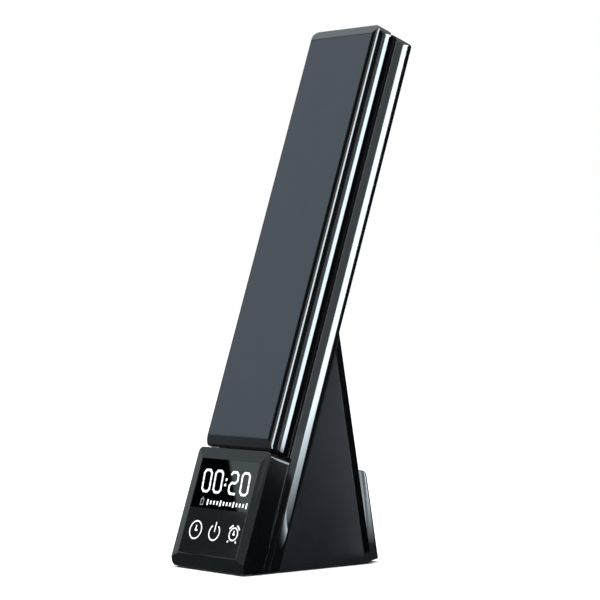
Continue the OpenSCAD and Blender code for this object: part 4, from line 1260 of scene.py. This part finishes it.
    def _window_flag(self, eye: Vector) -> None:
        """Hangs the dark card that the front panel mirrors, with a slanted edge that leaves a glare.

        Args:
            eye: Place of the photo's camera.
        """
        face = [SLAB.point(x, 0.0, s) for x, s in self.flag_outline]
        normal = (face[1] - face[0]).cross(face[2] - face[0]).normalized()
        image = eye - normal * (2.0 * (eye - face[0]).dot(normal))
        aim = (sum(face, Vector()) / len(face) - image).normalized()
        corners = []
        for point in face:
            way = (point - image).normalized()
            corners.append(point + way * (self.flag_m / way.dot(aim)))
        self._plain_card("window flag", corners, 0.0)

    def _floor(self) -> None:
        """Lays the white floor, which keeps the lamp's soft shadow, with a painted shadow under the lamp."""
        maker = NodeMaker("pale floor")
        diffuse = maker.node("ShaderNodeBsdfDiffuse")
        diffuse.inputs["Color"].default_value = (self.floor_grey, self.floor_grey, self.floor_grey, 1.0)
        glow = maker.node("ShaderNodeEmission")
        maker.link(self._glow_with_painted_shadow(maker), glow.inputs["Strength"])
        lift = maker.node("ShaderNodeAddShader")
        maker.link(diffuse.outputs[0], lift.inputs[0])
        maker.link(glow.outputs[0], lift.inputs[1])
        seen = self._background(maker.tree, diffuse.outputs[0], lift.outputs[0])
        maker.link(seen, maker.output.inputs["Surface"])
        corners = [Vector((x, y, 0.0)) for x, y in square(self.floor_m)]
        self._sheet("floor", corners, maker.material)

    def _glow_with_painted_shadow(self, maker: NodeMaker) -> bpy.types.NodeSocket:
        """Returns the floor's glow, cut off inside the lamp's outline: a painted shadow that keeps the gap
        under the lamp dark.

        Args:
            maker: The floor's material.

        Returns:
            The strength socket.
        """
        place = maker.axes()
        away = None
        for half, low, high in self.feet:
            beside = maker.sum_of("SUBTRACT", maker.sum_of("ABSOLUTE", place["X"], 0.0), half)
            along = maker.sum_of("SUBTRACT", place["Y"], (low + high) / 2.0)
            along = maker.sum_of("SUBTRACT", maker.sum_of("ABSOLUTE", along, 0.0), (high - low) / 2.0)
            outside = maker.sum_of("MAXIMUM", beside, along)
            away = outside if away is None else maker.sum_of("MINIMUM", away, outside)
        near, far = self.shadow_fade
        # Painted shadow: no glow inside the outlines, full glow just outside them.
        fade = maker.node("ShaderNodeMapRange", From_Min=near, From_Max=far, To_Max=self.floor_glow)
        maker.link(away, fade.inputs["Value"])
        return fade.outputs["Result"]

    def _leg_floor(self) -> None:
        """Lays a band on the floor that the leg's side mirrors, dark in front and pale behind."""
        maker = NodeMaker("leg floor")
        place = maker.axes()
        slope = math.tan(math.radians(self.band_deg))
        across = maker.node("ShaderNodeMath", operation="MULTIPLY_ADD")
        across.inputs[1].default_value = -slope
        maker.link(place["X"], across.inputs[0])
        maker.link(place["Y"], across.inputs[2])
        near, far = [y - slope * self.band_x for y in self.band_y]
        fade = maker.node("ShaderNodeMapRange", From_Min=near, From_Max=far)
        maker.link(across.outputs[0], fade.inputs["Value"])
        curve = maker.sum_of("POWER", fade.outputs["Result"], self.band_power)
        glow = maker.node("ShaderNodeEmission", Color=(*self.tint, 1.0))
        maker.link(maker.sum_of("MULTIPLY", curve, self.band_level), glow.inputs["Strength"])
        way = Vector((1.0, slope, 0.0)).normalized()
        start, end = [Vector((self.band_x, y, self.band_height)) for y in self.band_y]
        first, last = self.band_reach
        corners = [start + way * first, start + way * last, end + way * last, end + way * first]
        self._card("leg floor", corners, maker.finish(glow))


def main() -> None:
    """Builds the studio and the lamp in order."""
    logging.basicConfig(level=logging.INFO, format="%(name)s: %(message)s")
    camera = PhotoCamera().build()
    Studio().build(camera.location.copy())
    for part in (LampHead(), Hinge(), Arm(), Leg(), PowerInlet()):
        part.dress()
    box = ClockBox()
    box.dress()
    box.build()


if __name__ == "__main__":
    main()
